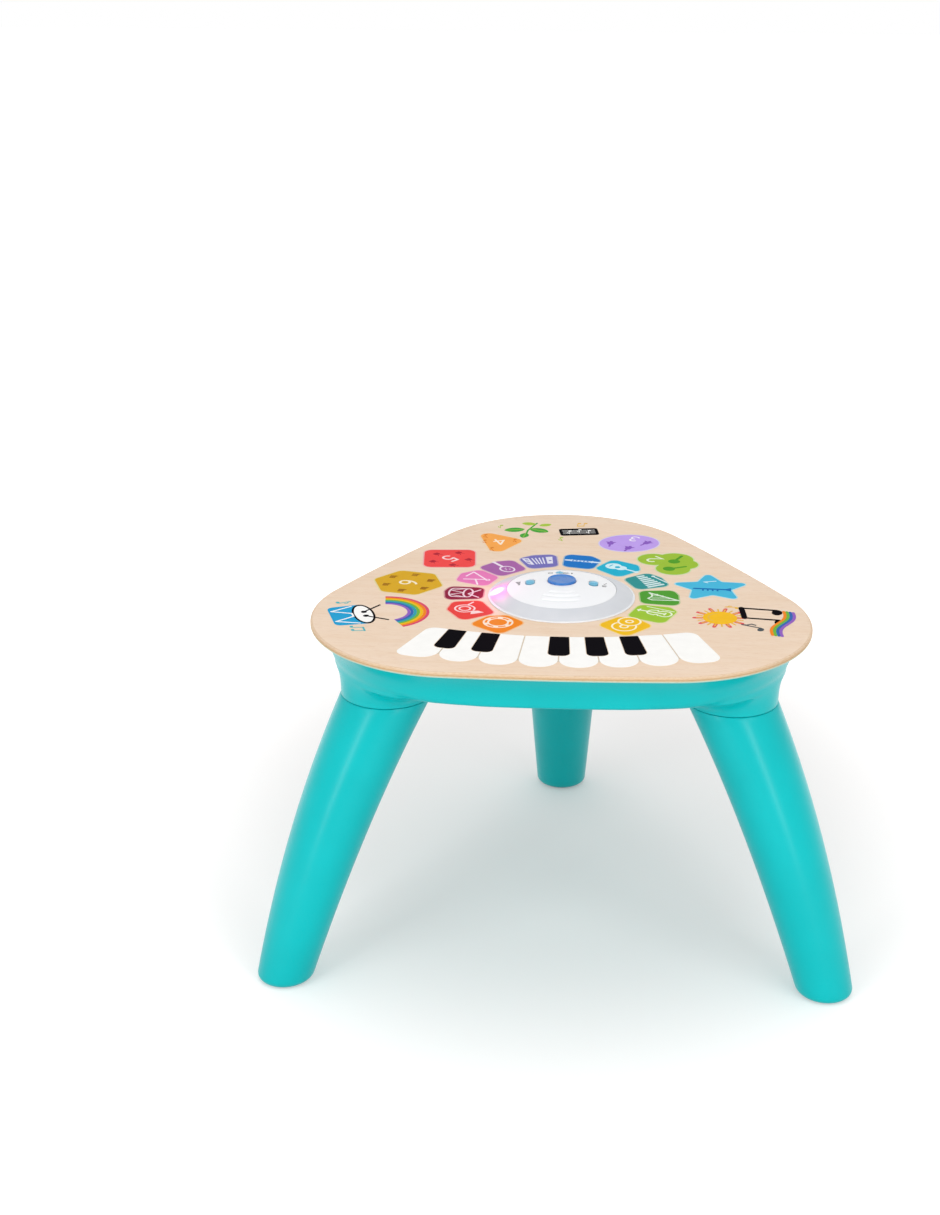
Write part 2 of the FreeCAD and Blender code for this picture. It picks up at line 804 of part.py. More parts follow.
def make_slider(x, y, length, width, along_y):
    """Slide control: a rounded plate in its slot, with a raised grip across it."""
    top = cap_height(x, y) + slider_proud
    z0 = carriage_z + carriage_thickness
    body = stadium(length, width, z0, top - grip_height, x, y, along_y)
    if along_y:
        grip = block(width * grip_width_share, length * grip_length_share, z0, top, x, y)
        steps = [(0.0, side * length * grip_length_share) for side in (-1, 1)]
    else:
        grip = block(length * grip_length_share, width * grip_width_share, z0, top, x, y)
        steps = [(side * length * grip_length_share, 0.0) for side in (-1, 1)]
    edges = [e for e in grip.Edges if e.BoundBox.ZMin > top - 0.01]
    grip = grip.makeFillet(grip_round, edges)
    knob = body.fuse(grip)
    for dx, dy in steps:
        rib_z = top - grip_height / 2
        if along_y:
            rib = block(width * rib_width_share, rib_width, z0, rib_z, x + dx, y + dy)
        else:
            rib = block(rib_width, width * rib_width_share, z0, rib_z, x + dx, y + dy)
        knob = knob.fuse(rib)
    return knob.removeSplitter()


def make_slider_stem(x, y, length, width, travel, along_y):
    """Dark carriage under the slot, with the stem that moves the switch."""
    long_side = length + travel + 2 * carriage_margin
    short_side = width + 2 * carriage_margin
    z0 = carriage_z
    z1 = carriage_z + carriage_thickness
    if along_y:
        carriage = block(short_side, long_side, z0, z1, x, y)
    else:
        carriage = block(long_side, short_side, z0, z1, x, y)
    switch_top = control_board_top + switch_height
    stem = block(stem_width, stem_width, switch_top - switch_height / 2 + slider_clearance, z0, x, y)
    return carriage.fuse(stem).removeSplitter()


def make_slide_switches():
    bodies = []
    for x, y, length, width, along_y in slot_sizes():
        z0 = control_board_top
        z1 = control_board_top + switch_height
        groove_length = stem_width + 2 * side_slider_travel + 2 * slider_clearance
        if not along_y:
            groove_length = stem_width + rear_slider_travel + 2 * slider_clearance
        groove_width = stem_width + slider_clearance
        if along_y:
            body = block(switch_width, switch_length, z0, z1, x, y)
            groove = block(groove_width, groove_length, z1 - switch_height / 2, z1, x, y)
        else:
            body = block(switch_length, switch_width, z0, z1, x, y)
            groove = block(groove_length, groove_width, z1 - switch_height / 2, z1, x, y)
        bodies.append(body.cut(groove))
    return Part.makeCompound(bodies)


def make_module_carrier():
    carrier = cylinder(carrier_radius, carrier_bottom, wood_bottom)
    for place in boss_places():
        hole = cylinder(
            small_screw_radius + screw_hole_clearance, carrier_bottom, wood_bottom, place.x, place.y
        )
        carrier = carrier.cut(hole)
    for place in carrier_screw_places():
        hole = cylinder(
            small_screw_radius + screw_hole_clearance, carrier_bottom, wood_bottom, place.x, place.y
        )
        carrier = carrier.cut(hole)
    board_bottom = control_board_top - board_thickness
    for place in board_post_places():
        carrier = carrier.fuse(cylinder(standoff_radius, wood_bottom, board_bottom, place.x, place.y))
    flange_bottom = wood_top + speaker_top - speaker_flange
    for angle in (30.0, 150.0, 270.0):
        place = vec(0, speaker_y) + polar(speaker_radius - speaker_post_radius, angle)
        carrier = carrier.fuse(cylinder(speaker_post_radius, wood_bottom, flange_bottom, place.x, place.y))
    for place in standoff_places():
        standoff = tube(
            standoff_radius,
            small_screw_radius + screw_hole_clearance,
            main_board_top,
            carrier_bottom,
            place.x,
            place.y,
        )
        carrier = carrier.fuse(standoff)
    lead_slot = block(
        4 * lead_spread, 6 * lead_radius, carrier_bottom, wood_bottom, 0, lead_y()
    )
    return carrier.cut(lead_slot).removeSplitter()


def make_speaker_basket():
    top = wood_top + speaker_top
    flange_inner = speaker_radius - speaker_flange_width
    flange = tube(speaker_radius, flange_inner, top - speaker_flange, top, 0, speaker_y)
    mouth = speaker_radius - 2 * speaker_post_radius - speaker_post_gap
    cone_height = speaker_depth - magnet_height - speaker_flange
    base_z = top - speaker_flange - cone_height
    outer = Part.makeCone(magnet_radius, mouth, cone_height, vec(0, speaker_y, base_z), UP)
    throat = magnet_radius - basket_sheet
    inner = Part.makeCone(throat, mouth - basket_sheet, cone_height, vec(0, speaker_y, base_z), UP)
    rim_top = top - speaker_flange / 2
    rim = tube(flange_inner, mouth - basket_sheet, top - speaker_flange, rim_top, 0, speaker_y)
    floor = tube(magnet_radius, magnet_radius / 2, base_z, base_z + basket_sheet, 0, speaker_y)
    lug_y = speaker_y + speaker_radius + speaker_lug_length / 2 - speaker_post_gap
    lug_top = top - speaker_flange
    lug = block(4 * lead_spread, speaker_lug_length, lug_top - speaker_flange, lug_top, 0, lug_y)
    return fuse_all([flange, outer.cut(inner), rim, floor, lug])


def make_speaker_magnet():
    top = wood_top + speaker_top
    z1 = top - speaker_depth + magnet_height
    return cylinder(magnet_radius, z1 - magnet_height, z1, 0, speaker_y)


def make_speaker_cone():
    """Paper cone with its dust cap, clear of the basket."""
    top = wood_top + speaker_top - speaker_flange / 2
    mouth = speaker_radius - speaker_flange_width
    rim = mouth - surround_width
    throat = magnet_radius / 2
    cone_height = speaker_depth - magnet_height - 2 * speaker_flange
    foot = vec(0, speaker_y, top - cone_height)
    outer = Part.makeCone(throat, rim + cone_sheet, cone_height, foot, UP)
    inner = Part.makeCone(throat - cone_sheet, rim, cone_height, foot, UP)
    surround = tube(mouth, rim, top, top + surround_height, 0, speaker_y)
    dust_cap = cylinder(throat, foot.z, foot.z + cone_sheet, 0, speaker_y)
    return fuse_all([outer.cut(inner), surround, dust_cap])


def make_control_board():
    z1 = control_board_top
    disc = cylinder(control_board_radius, z1 - board_thickness, z1)
    back = control_board_radius - control_board_front
    keep = block(
        2 * control_board_radius, back, z1 - board_thickness, z1, 0, control_board_front + back / 2
    )
    board = disc.common(keep)
    for place in boss_places():
        board = board.cut(cylinder(boss_radius + boss_gap, z1 - board_thickness, z1, place.x, place.y))
    return board


def make_led_board():
    inner = led_reach - led_board_width / 2
    return tube(inner + led_board_width, inner, wood_bottom, wood_bottom + board_thickness)


def make_leds():
    leds = []
    z0 = wood_bottom + board_thickness
    for i in range(led_count):
        angle = 360.0 * i / led_count
        led = block(led_size, led_size, z0, z0 + led_height, led_reach, 0)
        led.rotate(vec(0, 0), UP, angle)
        leds.append(led)
    return Part.makeCompound(leds)


def make_main_board():
    board = block(
        main_board_width, main_board_length, main_board_bottom, main_board_top, 0, main_board_y
    )
    for place in standoff_places():
        hole = cylinder(
            small_screw_radius + screw_hole_clearance, main_board_bottom, main_board_top, place.x, place.y
        )
        board = board.cut(hole)
    return board


def make_board_parts():
    """Chip, capacitor and plugs on the underside of the main board."""
    z1 = main_board_bottom
    back = main_board_y + main_board_length / 2
    front = main_board_y - main_board_length / 2
    chip = block(chip_size, chip_size, z1 - chip_height, z1, -chip_size, main_board_y)
    memory = block(memory_size, memory_size, z1 - chip_height, z1, chip_size, main_board_y)
    capacitor = cylinder(capacitor_radius, z1 - capacitor_height, z1, 2 * chip_size, main_board_y)
    ribbon_plug_y = back - plug_inset - plug_length / 2
    ribbon_plug = block(ribbon_width + plug_wall, plug_length, z1 - ribbon_plug_height, z1, 0, ribbon_plug_y)
    lead_plug_y = front + plug_inset + plug_length / 2
    lead_plug = block(4 * lead_spread, plug_length, z1 - lead_plug_height, z1, 0, lead_plug_y)
    return Part.makeCompound([chip, memory, capacitor, ribbon_plug, lead_plug])


def make_module_screws():
    """Small screws: carrier to wood, carrier to cap, and main board to carrier."""
    screws = []
    places = [(p, carrier_bottom, wood_bottom + small_wood_bite) for p in carrier_screw_places()]
    places += [(p, carrier_bottom, wood_bottom + small_screw_bite) for p in boss_places()]
    places += [(p, main_board_bottom, carrier_bottom - screw_tip_gap) for p in standoff_places()]
    for place, seat, tip in places:
        head = cylinder(small_screw_head, seat - small_screw_head_height, seat, place.x, place.y)
        shank = cylinder(small_screw_radius, seat, tip, place.x, place.y)
        screws.append(head.fuse(shank).removeSplitter())
    return Part.makeCompound(screws)


def make_sensor_sheet():
    sheet = plate(sheet_inset, wood_bottom - sheet_thickness, wood_bottom)
    hole = cylinder(carrier_radius + sheet_clearance, wood_bottom - sheet_thickness, wood_bottom)
    sheet = sheet.cut(hole)
    for place in wood_screw_places():
        relief = screw_boss_radius + boss_gap
        sheet = sheet.cut(cylinder(relief, wood_bottom - sheet_thickness, wood_bottom, place.x, place.y))
    return sheet


# Battery compartment

def cell_offsets():
    pitch = 2 * cell_radius + cell_gap
    return [(i - (cell_count - 1) / 2) * pitch for i in range(cell_count)]


def make_battery_box():
    outer_length = box_length + 2 * box_wall
    outer = block(outer_length, cells_width + 2 * box_wall, casing_floor, box_top + box_wall, 0, battery_y)
    inner = block(box_length, cells_width, casing_floor, box_top, 0, battery_y)
    return outer.cut(inner)


def cell_axis_z():
    return casing_floor + cell_lift + cell_radius


def make_batteries():
    cells = []
    start = -box_length / 2 + contact_thickness + contact_spring
    for i, offset in enumerate(cell_offsets()):
        flip = -1 if i % 2 else 1
        y = battery_y + offset
        base = vec(flip * start, y, cell_axis_z())
        along = vec(flip, 0, 0)
        can = Part.makeCylinder(cell_radius, cell_length - cell_nub, base, along)
        tip = Part.makeCylinder(cell_nub_radius, cell_nub, base + along * (cell_length - cell_nub), along)
        cells.append(can.fuse(tip).removeSplitter())
    return Part.makeCompound(cells)


def make_battery_contacts():
    contacts = []
    half = box_length / 2
    height = 2 * spring_radius + 2 * contact_thickness
    for i, offset in enumerate(cell_offsets()):
        flip = -1 if i % 2 else 1
        y = battery_y + offset
        for side in (-1, 1):
            x = side * (half - contact_thickness / 2)
            z0 = cell_axis_z() - height / 2
            contacts.append(block(contact_thickness, height, z0, z0 + height, x, y))
        base = vec(-flip * (half - contact_thickness), y, cell_axis_z())
        along = vec(flip, 0, 0)
        coil = Part.makeCone(spring_radius, spring_tip_radius, contact_spring, base, along)
        bore_radius = spring_radius - spring_wire
        bore = Part.makeCone(bore_radius, spring_tip_radius - spring_wire, contact_spring, base, along)
        plate_index = -1 if flip < 0 else -2
        contacts[plate_index] = contacts[plate_index].fuse(coil.cut(bore))
    return Part.makeCompound(contacts)


def make_battery_door():
    door = block(door_length, cells_width, casing_bottom, casing_floor, 0, battery_y)
    for side in (-1, 1):
        x = side * door_screw_x
        hole = cylinder(door_screw_radius + screw_running_gap, casing_bottom, casing_floor, x, battery_y)
        well_top = casing_bottom + door_screw_inset + door_screw_head_height
        well = cylinder(door_screw_head + door_screw_head_gap, casing_bottom, well_top, x, battery_y)
        door = door.cut(hole).cut(well)
    for i in (-1, 0, 1):
        x = i * finger_groove_pitch
        top = casing_bottom + finger_groove_depth
        door = door.cut(block(finger_groove_width, cells_width / 2, casing_bottom, top, x, battery_y))
    return door


def make_door_screw(side):
    x = side * door_screw_x
    head_top = casing_bottom + door_screw_inset + door_screw_head_height
    head = cylinder(door_screw_head, head_top - door_screw_head_height, head_top, x, battery_y)
    shank_top = casing_floor + door_screw_length - screw_tip_gap
    shank = cylinder(door_screw_radius, head_top, shank_top, x, battery_y)
    depth = door_screw_inset + door_screw_head_height / 2
    drive = drive_cross(door_screw_head, casing_bottom, depth, vec(x, battery_y))
    return head.fuse(shank).cut(drive).removeSplitter()


# Leads

def lead_y():
    return speaker_y + speaker_radius + speaker_lug_length / 2


def lead_path(points, radius):
    """Round lead along straight runs joined by tangent arcs."""
    edges = []
    last = points[0]
    for i in range(1, len(points) - 1):
        corner = points[i]
        back = (points[i - 1] - corner).normalize()
        ahead = (points[i + 1] - corner).normalize()
        run = min((points[i - 1] - corner).Length, (points[i + 1] - corner).Length)
        setback = 0.45 * run
        half = back.getAngle(ahead) / 2
        bend = setback * math.tan(half)
        start = corner + back * setback
        end = corner + ahead * setback
        middle = corner + (back + ahead).normalize() * (bend / math.sin(half) - bend)
        edges.append(Part.LineSegment(last, start).toShape())
        edges.append(Part.Arc(start, middle, end).toShape())
        last = end
    edges.append(Part.LineSegment(last, points[-1]).toShape())
    path = Part.Wire(edges)
    direction = points[1] - points[0]
    section = Part.Wire(Part.makeCircle(radius, points[0], direction))
    return path.makePipeShell([section], True, False)


def make_battery_leads():
    leads = []
    start_z = box_top - cell_radius
    start_y = battery_y + cells_width / 2 + box_wall
    plug_z = main_board_bottom - lead_plug_height / 2
    plug_y = main_board_y - main_board_length / 2 + plug_inset
    for side in (-1, 1):
        x = side * lead_spread
        points = [
            vec(x, start_y, start_z),
            vec(x, start_y + lead_run, start_z),
            vec(x, plug_y - lead_run, plug_z),
            vec(x, plug_y, plug_z),
        ]
        leads.append(lead_path(points, lead_radius))
    return Part.makeCompound(leads)


def make_speaker_leads():
    leads = []
    z1 = wood_top + speaker_top - 2 * speaker_flange
    for side in (-1, 1):
        leads.append(cylinder(lead_radius, main_board_top, z1, side * lead_spread, lead_y()))
    return Part.makeCompound(leads)


def make_sensor_ribbon():
    """Flat strip from the sensor film to its plug on the main board."""
    sheet_z = wood_bottom - sheet_thickness
    plug_back = main_board_y + main_board_length / 2 - plug_inset
    plug_z = main_board_bottom - ribbon_plug_height / 2
    sheet_edge = carrier_radius + sheet_clearance
    line = [
        (sheet_edge + 2 * ribbon_run, sheet_z),
        (sheet_edge + ribbon_run, sheet_z),
        (sheet_edge, carrier_bottom - ribbon_sag),
        (plug_back + 2 * ribbon_run, plug_z - ribbon_sag),
        (plug_back, plug_z),
    ]
    lower = [(y, z - ribbon_thickness) for y, z in reversed(line)]
    points = [vec(-ribbon_width / 2, y, z) for y, z in line + lower]
    face = Part.Face(Part.makePolygon(points + points[:1]))
    return face.extrude(vec(ribbon_width, 0, 0))


# Printed keys and pads

def ink(face):
    return face.extrude(vec(0, 0, ink_thickness))


def fan_point(radius, angle, shift):
    """Place on the keyboard's fan: radius and angle, moved sideways by a shift."""
    turn = math.radians(angle)
    x = radius * math.sin(turn) + shift * math.cos(turn)
    y = keyboard_reach - radius * math.cos(turn) + shift * math.sin(turn)
    return (x, y)


def make_white_keys():
    keys = []
    for i in range(key_count):
        left = -key_fan_half + i * key_pitch
        right = left + key_pitch
        points = [
            fan_point(keyboard_inner_radius, left, key_gap / 2),
            fan_point(keyboard_outer_radius, left, key_gap / 2),
            fan_point(keyboard_outer_radius, right, -key_gap / 2),
            fan_point(keyboard_inner_radius, right, -key_gap / 2),
        ]
        first = keyboard_end_round if i == 0 else key_corner_round
        last = keyboard_end_round if i == key_count - 1 else key_corner_round
        keys.append(ink(rounded_face(points, [first, key_end_round, key_end_round, last], wood_top)))
    white = Part.makeCompound(keys)
    return white.cut(fuse_all([ink(face) for face in black_key_faces()]))


def black_key_faces():
    faces = []
    for place in black_key_places:
        angle = -key_fan_half + place * key_pitch
        inner = keyboard_inner_radius
        outer = keyboard_inner_radius + black_key_length
        top = (black_key_width - black_key_taper) / 2
        bottom = black_key_width / 2
        points = [
            fan_point(inner, angle, -top),
            fan_point(outer, angle, -bottom),
            fan_point(outer, angle, bottom),
            fan_point(inner, angle, top),
        ]
        rounds = [key_corner_round, black_key_round, black_key_round, key_corner_round]
        faces.append(rounded_face(points, rounds, wood_top))
    return faces


def make_black_keys():
    return Part.makeCompound([ink(face) for face in black_key_faces()])


def pad_from_corners(corners, corner_round):
    return ink(rounded_face(corners, [corner_round] * len(corners), wood_top))


def regular_pad(centre, radius, sides, start_angle, corner):
    points = []
    for i in range(sides):
        place = vec(centre[0], centre[1]) + polar(radius, start_angle + 360.0 * i / sides)
        points.append((place.x, place.y))
    return ink(rounded_face(points, [corner] * sides, wood_top))


def make_star():
    points = []
    for i in range(10):
        reach = star_radius if i % 2 == 0 else star_inner_radius
        place = vec(star_centre[0], star_centre[1]) + polar(reach, star_turn + 36.0 * i)
        points.append((place.x, place.y))
    return ink(rounded_face(points, [star_round] * 10, wood_top))


def make_clover():
    lobes = [cylinder(radius, wood_top, wood_top + ink_thickness, x, y) for x, y, radius in clover_lobes]
    return fuse_all(lobes)


def make_oval():
    ellipse = Part.Ellipse(vec(oval_centre[0], oval_centre[1], wood_top), oval_radii[0], oval_radii[1])
    edge = ellipse.toShape()
    edge.rotate(vec(oval_centre[0], oval_centre[1], wood_top), UP, oval_tilt)
    return ink(Part.Face(Part.Wire(edge)))


def build():
    """Every sub-part by name, about the axis of the dome."""
    nodes = {
        "top_panel": make_top_panel(),
        "base_shell": make_base_shell(),
        "light_ring": make_light_ring(),
        "dome_cap": make_dome_cap(),
        "module_carrier": make_module_carrier(),
        "led_board": make_led_board(),
        "leds": make_leds(),
        "sensor_sheet": make_sensor_sheet(),
        "control_board": make_control_board(),
        "main_board": make_main_board(),
        "board_parts": make_board_parts(),
        "speaker_basket": make_speaker_basket(),
        "speaker_cone": make_speaker_cone(),
        "speaker_magnet": make_speaker_magnet(),
        "play_button": make_play_button(),
        "button_return_dome": make_button_return_dome(),
        "slide_switches": make_slide_switches(),
        "battery_box": make_battery_box(),
        "batteries": make_batteries(),
        "battery_contacts": make_battery_contacts(),
        "battery_door": make_battery_door(),
        "door_screw_left": make_door_screw(-1),
        "door_screw_right": make_door_screw(1),
        "wood_screws": make_wood_screws(),
        "module_screws": make_module_screws(),
        "battery_leads": make_battery_leads(),
        "speaker_leads": make_speaker_leads(),
        "sensor_ribbon": make_sensor_ribbon(),
        "white_keys": make_white_keys(),
        "black_keys": make_black_keys(),
        "number_one_star": make_star(),
        "number_two_clover": make_clover(),
        "number_three_oval": make_oval(),
        "number_four_triangle": pad_from_corners(triangle_corners, triangle_round),
        "number_five_square": regular_pad(square_centre, square_radius, 4, square_turn, square_round),
        "number_six_hexagon": regular_pad(hexagon_centre, hexagon_radius, 6, hexagon_turn, hexagon_round),
    }
    for name, azimuth in leg_azimuths.items():
        nodes["leg_" + name] = make_leg(azimuth)
        nodes["foot_pad_" + name] = make_foot_pad(azimuth)
    side = (side_slider_length, side_slider_width)
    rear = (rear_slider_length, rear_slider_width)
    nodes["volume_slider"] = make_slider(-side_slider_x, side_slider_y, *side, True)
    nodes["volume_stem"] = make_slider_stem(-side_slider_x, side_slider_y, *side, side_slider_travel, True)
    nodes["mode_slider"] = make_slider(side_slider_x, side_slider_y, *side, True)
    nodes["mode_stem"] = make_slider_stem(side_slider_x, side_slider_y, *side, side_slider_travel, True)
    nodes["power_slider"] = make_slider(rear_slider_x, rear_slider_y, *rear, False)
    nodes["power_stem"] = make_slider_stem(rear_slider_x, rear_slider_y, *rear, rear_slider_travel / 2, False)
    for name, corners in pads.items():
        nodes["pad_" + name] = pad_from_corners(corners, pad_round)
    return nodes


def middle_shift():
    """Move along Y that brings the middle of the table's depth to the origin."""
    front = side_radius - side_centre_reach
    foot_z = foot_pad_proud + foot_round
    back = leg_reach(foot_z) + leg_radius(foot_z)
    return -(back - front) / 2


nodes = build()
shift = vec(0, middle_shift(), 0)
for name, shape in nodes.items():
    shape.translate(shift)
    shape.exportStep("parts/" + name + ".step")
    print(name, len(shape.Solids), round(shape.Volume, 1), shape.isValid())
print("moved along Y by", round(shift.y, 3), "nodes", len(nodes))
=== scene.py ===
# %% [markdown]
# # A child's activity table with a printed touch piano
# A thin birch top shaped like a rounded triangle lies on a turquoise moulded casing with three
# tapered legs. A white dome with a button, three sliders and a speaker grille sits in the middle,
# inside a frosted ring that lights up. Piano keys and coloured pads are printed on the wood.
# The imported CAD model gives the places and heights. This script dresses it, piece by piece.
# Sizes here are millimetres about the dome's axis, and one function turns them into scene metres.

# %% Load the frame
import math

import bmesh
import bpy
import numpy as np
from mathutils import Matrix, Vector


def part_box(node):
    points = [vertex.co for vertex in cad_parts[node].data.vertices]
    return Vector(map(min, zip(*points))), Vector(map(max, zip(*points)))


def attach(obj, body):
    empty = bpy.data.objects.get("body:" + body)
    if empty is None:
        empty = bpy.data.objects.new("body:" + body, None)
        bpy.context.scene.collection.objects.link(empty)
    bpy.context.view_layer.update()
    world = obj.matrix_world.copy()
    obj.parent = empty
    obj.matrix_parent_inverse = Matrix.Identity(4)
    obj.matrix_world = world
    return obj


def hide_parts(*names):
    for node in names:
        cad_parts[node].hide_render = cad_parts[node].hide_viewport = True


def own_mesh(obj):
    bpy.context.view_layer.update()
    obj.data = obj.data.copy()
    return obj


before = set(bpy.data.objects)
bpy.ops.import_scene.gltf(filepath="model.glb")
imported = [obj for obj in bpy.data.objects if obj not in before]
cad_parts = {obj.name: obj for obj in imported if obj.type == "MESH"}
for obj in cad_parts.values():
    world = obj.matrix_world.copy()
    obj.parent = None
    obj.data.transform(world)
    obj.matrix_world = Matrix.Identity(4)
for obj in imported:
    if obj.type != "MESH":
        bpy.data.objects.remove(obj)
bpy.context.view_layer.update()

# %% [markdown]
# ## Heights and places from the frame
# The wood, the ring, the casing and the feet are where the CAD model says, so their heights are
# read from its nodes. The sizes of the outline and of the legs' curve are the ones of the table
# itself, because a box alone can't tell them.


# %% Read the frame
def node_box(node):
    """Lowest and highest corner of a CAD node, in millimetres."""
    low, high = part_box(node)
    return low * 1000, high * 1000


panel_low, panel_high = node_box("top_panel")
ring_low, ring_high = node_box("light_ring")
wood_top = panel_high.z
wood_bottom = panel_low.z
seam_z = node_box("base_shell")[0].z
dome_y = (ring_low.y + ring_high.y) / 2
print("wood", wood_bottom, wood_top, "seam", seam_z, "dome axis y", round(dome_y, 3))

# %% Outline of the table
leg_angles = {"left": 210.0, "right": 330.0, "back": 90.0}
corner_angles = tuple(leg_angles.values())
side_angles = tuple((angle + 60) % 360 for angle in corner_angles)
corner_reach = 104.0
corner_radius = 130.0
side_radius = 1834.0
casing_depth = 32.6
casing_bottom = wood_bottom - casing_depth
side_centre_reach = (
    math.sqrt((side_radius - corner_radius) ** 2 - (corner_reach * math.cos(math.radians(30))) ** 2)
    - corner_reach * math.sin(math.radians(30))
)


def metres(points):
    """Millimetres about the dome's axis to scene metres."""
    shifted = np.asarray(points, float) + np.array([0.0, dome_y, 0.0])
    return shifted / 1000.0


def around(reach, angle):
    """Place at a distance from the dome's axis, at an angle in degrees."""
    turn = math.radians(angle)
    return np.array([reach * math.cos(turn), reach * math.sin(turn)])


print("sides at", side_angles, "degrees, their centres", round(side_centre_reach, 2), "mm beyond the dome")

# %% [markdown]
# ## Meshes and materials
# Every piece is a mesh whose object stays at the origin, so that patterns on Object coordinates
# stay put. One helper makes the mesh, marks edges sharper than an angle, and hangs the piece on
# its CAD body. One helper adds a shader node with its settings and links.


# %% Mesh helper
def make_piece(name, bm, materials, body="table", replaces=(), sharp=35.0):
    """Turns a bmesh in scene metres into a piece that rides on a CAD body."""
    bm.normal_update()
    for face in bm.faces:
        face.smooth = True
    for edge in bm.edges:
        angle = edge.calc_face_angle(0.0) if edge.is_manifold else math.pi
        edge.smooth = angle < math.radians(sharp)
    mesh = bpy.data.meshes.new(name)
    bm.to_mesh(mesh)
    bm.free()
    for material in materials:
        mesh.materials.append(material)
    piece = bpy.data.objects.new(name, mesh)
    bpy.context.scene.collection.objects.link(piece)
    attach(piece, body)
    if replaces:
        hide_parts(*replaces)
    print(name, "faces", len(mesh.polygons))
    return piece


# %% Rings of points
def circle(radius, steps, x=0.0, y=0.0):
    """Flat points round a circle."""
    turn = np.linspace(0, 2 * math.pi, steps, endpoint=False)
    return np.column_stack([x + radius * np.cos(turn), y + radius * np.sin(turn)])


def at_height(points, z):
    """Flat points with a height, the same for all or one for each."""
    return np.column_stack([points, np.broadcast_to(z, len(points))])


def add_grid(bm, rows, material=0, flip=False):
    """Skins rows of points with quads; each row is a closed ring."""
    made = [[bm.verts.new(p) for p in metres(row)] for row in rows]
    for lower, upper in zip(made, made[1:]):
        count = len(lower)
        for i in range(count):
            j = (i + 1) % count
            quad = (lower[i], lower[j], upper[j], upper[i])
            face = bm.faces.new(quad[::-1] if flip else quad)
            face.material_index = material
    return made


def add_solid(bm, rows, material=0, flip=False):
    """Skins rows of points, and closes the first and the last ring with a face."""
    made = add_grid(bm, rows, material, flip)
    for ring, turned in ((made[0], not flip), (made[-1], flip)):
        face = bm.faces.new(ring[::-1] if turned else ring)
        face.material_index = material


def join_into(target, source):
    """Adds one bmesh to another and frees it."""
    mesh = bpy.data.meshes.new("joined")
    source.to_mesh(mesh)
    source.free()
    target.from_mesh(mesh)
    bpy.data.meshes.remove(mesh)


print("mesh helpers ready")


# %% Colour and shader helpers
def paint(code):
    """sRGB hex colour to the linear values that a shader wants."""
    values = []
    for start in (1, 3, 5):
        v = int(code[start:start + 2], 16) / 255
        values.append(v / 12.92 if v <= 0.04045 else ((v + 0.055) / 1.055) ** 2.4)
    return (*values, 1.0)


def add(tree, kind, inputs=None, **settings):
    """Adds a node; inputs are values or sockets by the input's name or number."""
    made = tree.nodes.new(kind)
    for name, value in settings.items():
        setattr(made, name, value)
    for name, value in (inputs or {}).items():
        if isinstance(value, bpy.types.NodeSocket):
            tree.links.new(value, made.inputs[name])
        else:
            made.inputs[name].default_value = value
    return made


def new_material(name, colour, roughness, **shader):
    """Material with a Principled shader; shader names its other sockets."""
    material = bpy.data.materials.new(name)
    material.use_nodes = True
    tree = material.node_tree
    surface = tree.nodes["Principled BSDF"]
    surface.inputs["Base Color"].default_value = paint(colour)
    surface.inputs["Roughness"].default_value = roughness
    for socket, value in shader.items():
        surface.inputs[socket.replace("_", " ")].default_value = value
    return material, tree, surface


def math_node(tree, operation, first, second=0.0, **settings):
    """Result of one sum on two numbers or sockets."""
    return add(tree, "ShaderNodeMath", {0: first, 1: second}, operation=operation, **settings).outputs[0]


print("white in linear values", paint("#FFFFFF"))


# %% Patterns
def object_place(tree):
    """Place on the object, which all patterns are laid on."""
    return add(tree, "ShaderNodeTexCoord").outputs["Object"]


def scaled_noise(tree, width_mm, detail, stretch=(1, 1, 1)):
    """Noise whose features are about width_mm wide."""
    scale = [1000.0 / (width_mm * s) for s in stretch]
    mapped = add(tree, "ShaderNodeMapping", {"Vector": object_place(tree), "Scale": scale})
    return add(tree, "ShaderNodeTexNoise", {"Vector": mapped.outputs[0], "Scale": 1.0, "Detail": detail})


def ramp(tree, factor, stops):
    """Colour ramp through (position, colour) stops."""
    made = add(tree, "ShaderNodeValToRGB", {"Fac": factor})
    points = made.color_ramp.elements
    while len(points) < len(stops):
        points.new(0.5)
    for point, (position, colour) in zip(points, stops):
        point.position = position
        point.color = paint(colour)
    return made


def add_tint(tree, surface, factor, stops):
    """Colours the surface by a ramp, and gives the ramp's colour."""
    tint = ramp(tree, factor, stops).outputs[0]
    tree.links.new(tint, surface.inputs["Base Color"])
    return tint


def add_gloss(tree, surface, pattern, low, high):
    """Roughness that follows a pattern between two values."""
    gloss = add(tree, "ShaderNodeMapRange", {"Value": pattern, "To Min": low, "To Max": high})
    tree.links.new(gloss.outputs[0], surface.inputs["Roughness"])


def add_bump(tree, surface, height, depth_mm):
    """Raises the surface by a height pattern, up to a depth in millimetres."""
    bump = add(tree, "ShaderNodeBump", {"Height": height, "Distance": depth_mm / 1000})
    tree.links.new(bump.outputs[0], surface.inputs["Normal"])


def multiplied(tree, share, first, second):
    """Second colour multiplied over the first, by a share."""
    mixed = add(tree, "ShaderNodeMix", {0: share, 6: first, 7: second}, data_type="RGBA",
                blend_type="MULTIPLY")
    return mixed.outputs[2]


print("pattern helpers ready")

# %% [markdown]
# ## Plastics
# The casing and the legs are injection-moulded polypropylene: one dense colour, a satin skin with
# a very fine texture, and slow waves left by cooling. The texture is drawn about three times
# coarser than real, so that it shows. The same recipe with other numbers serves the dome's
# glossy ABS and the small parts.


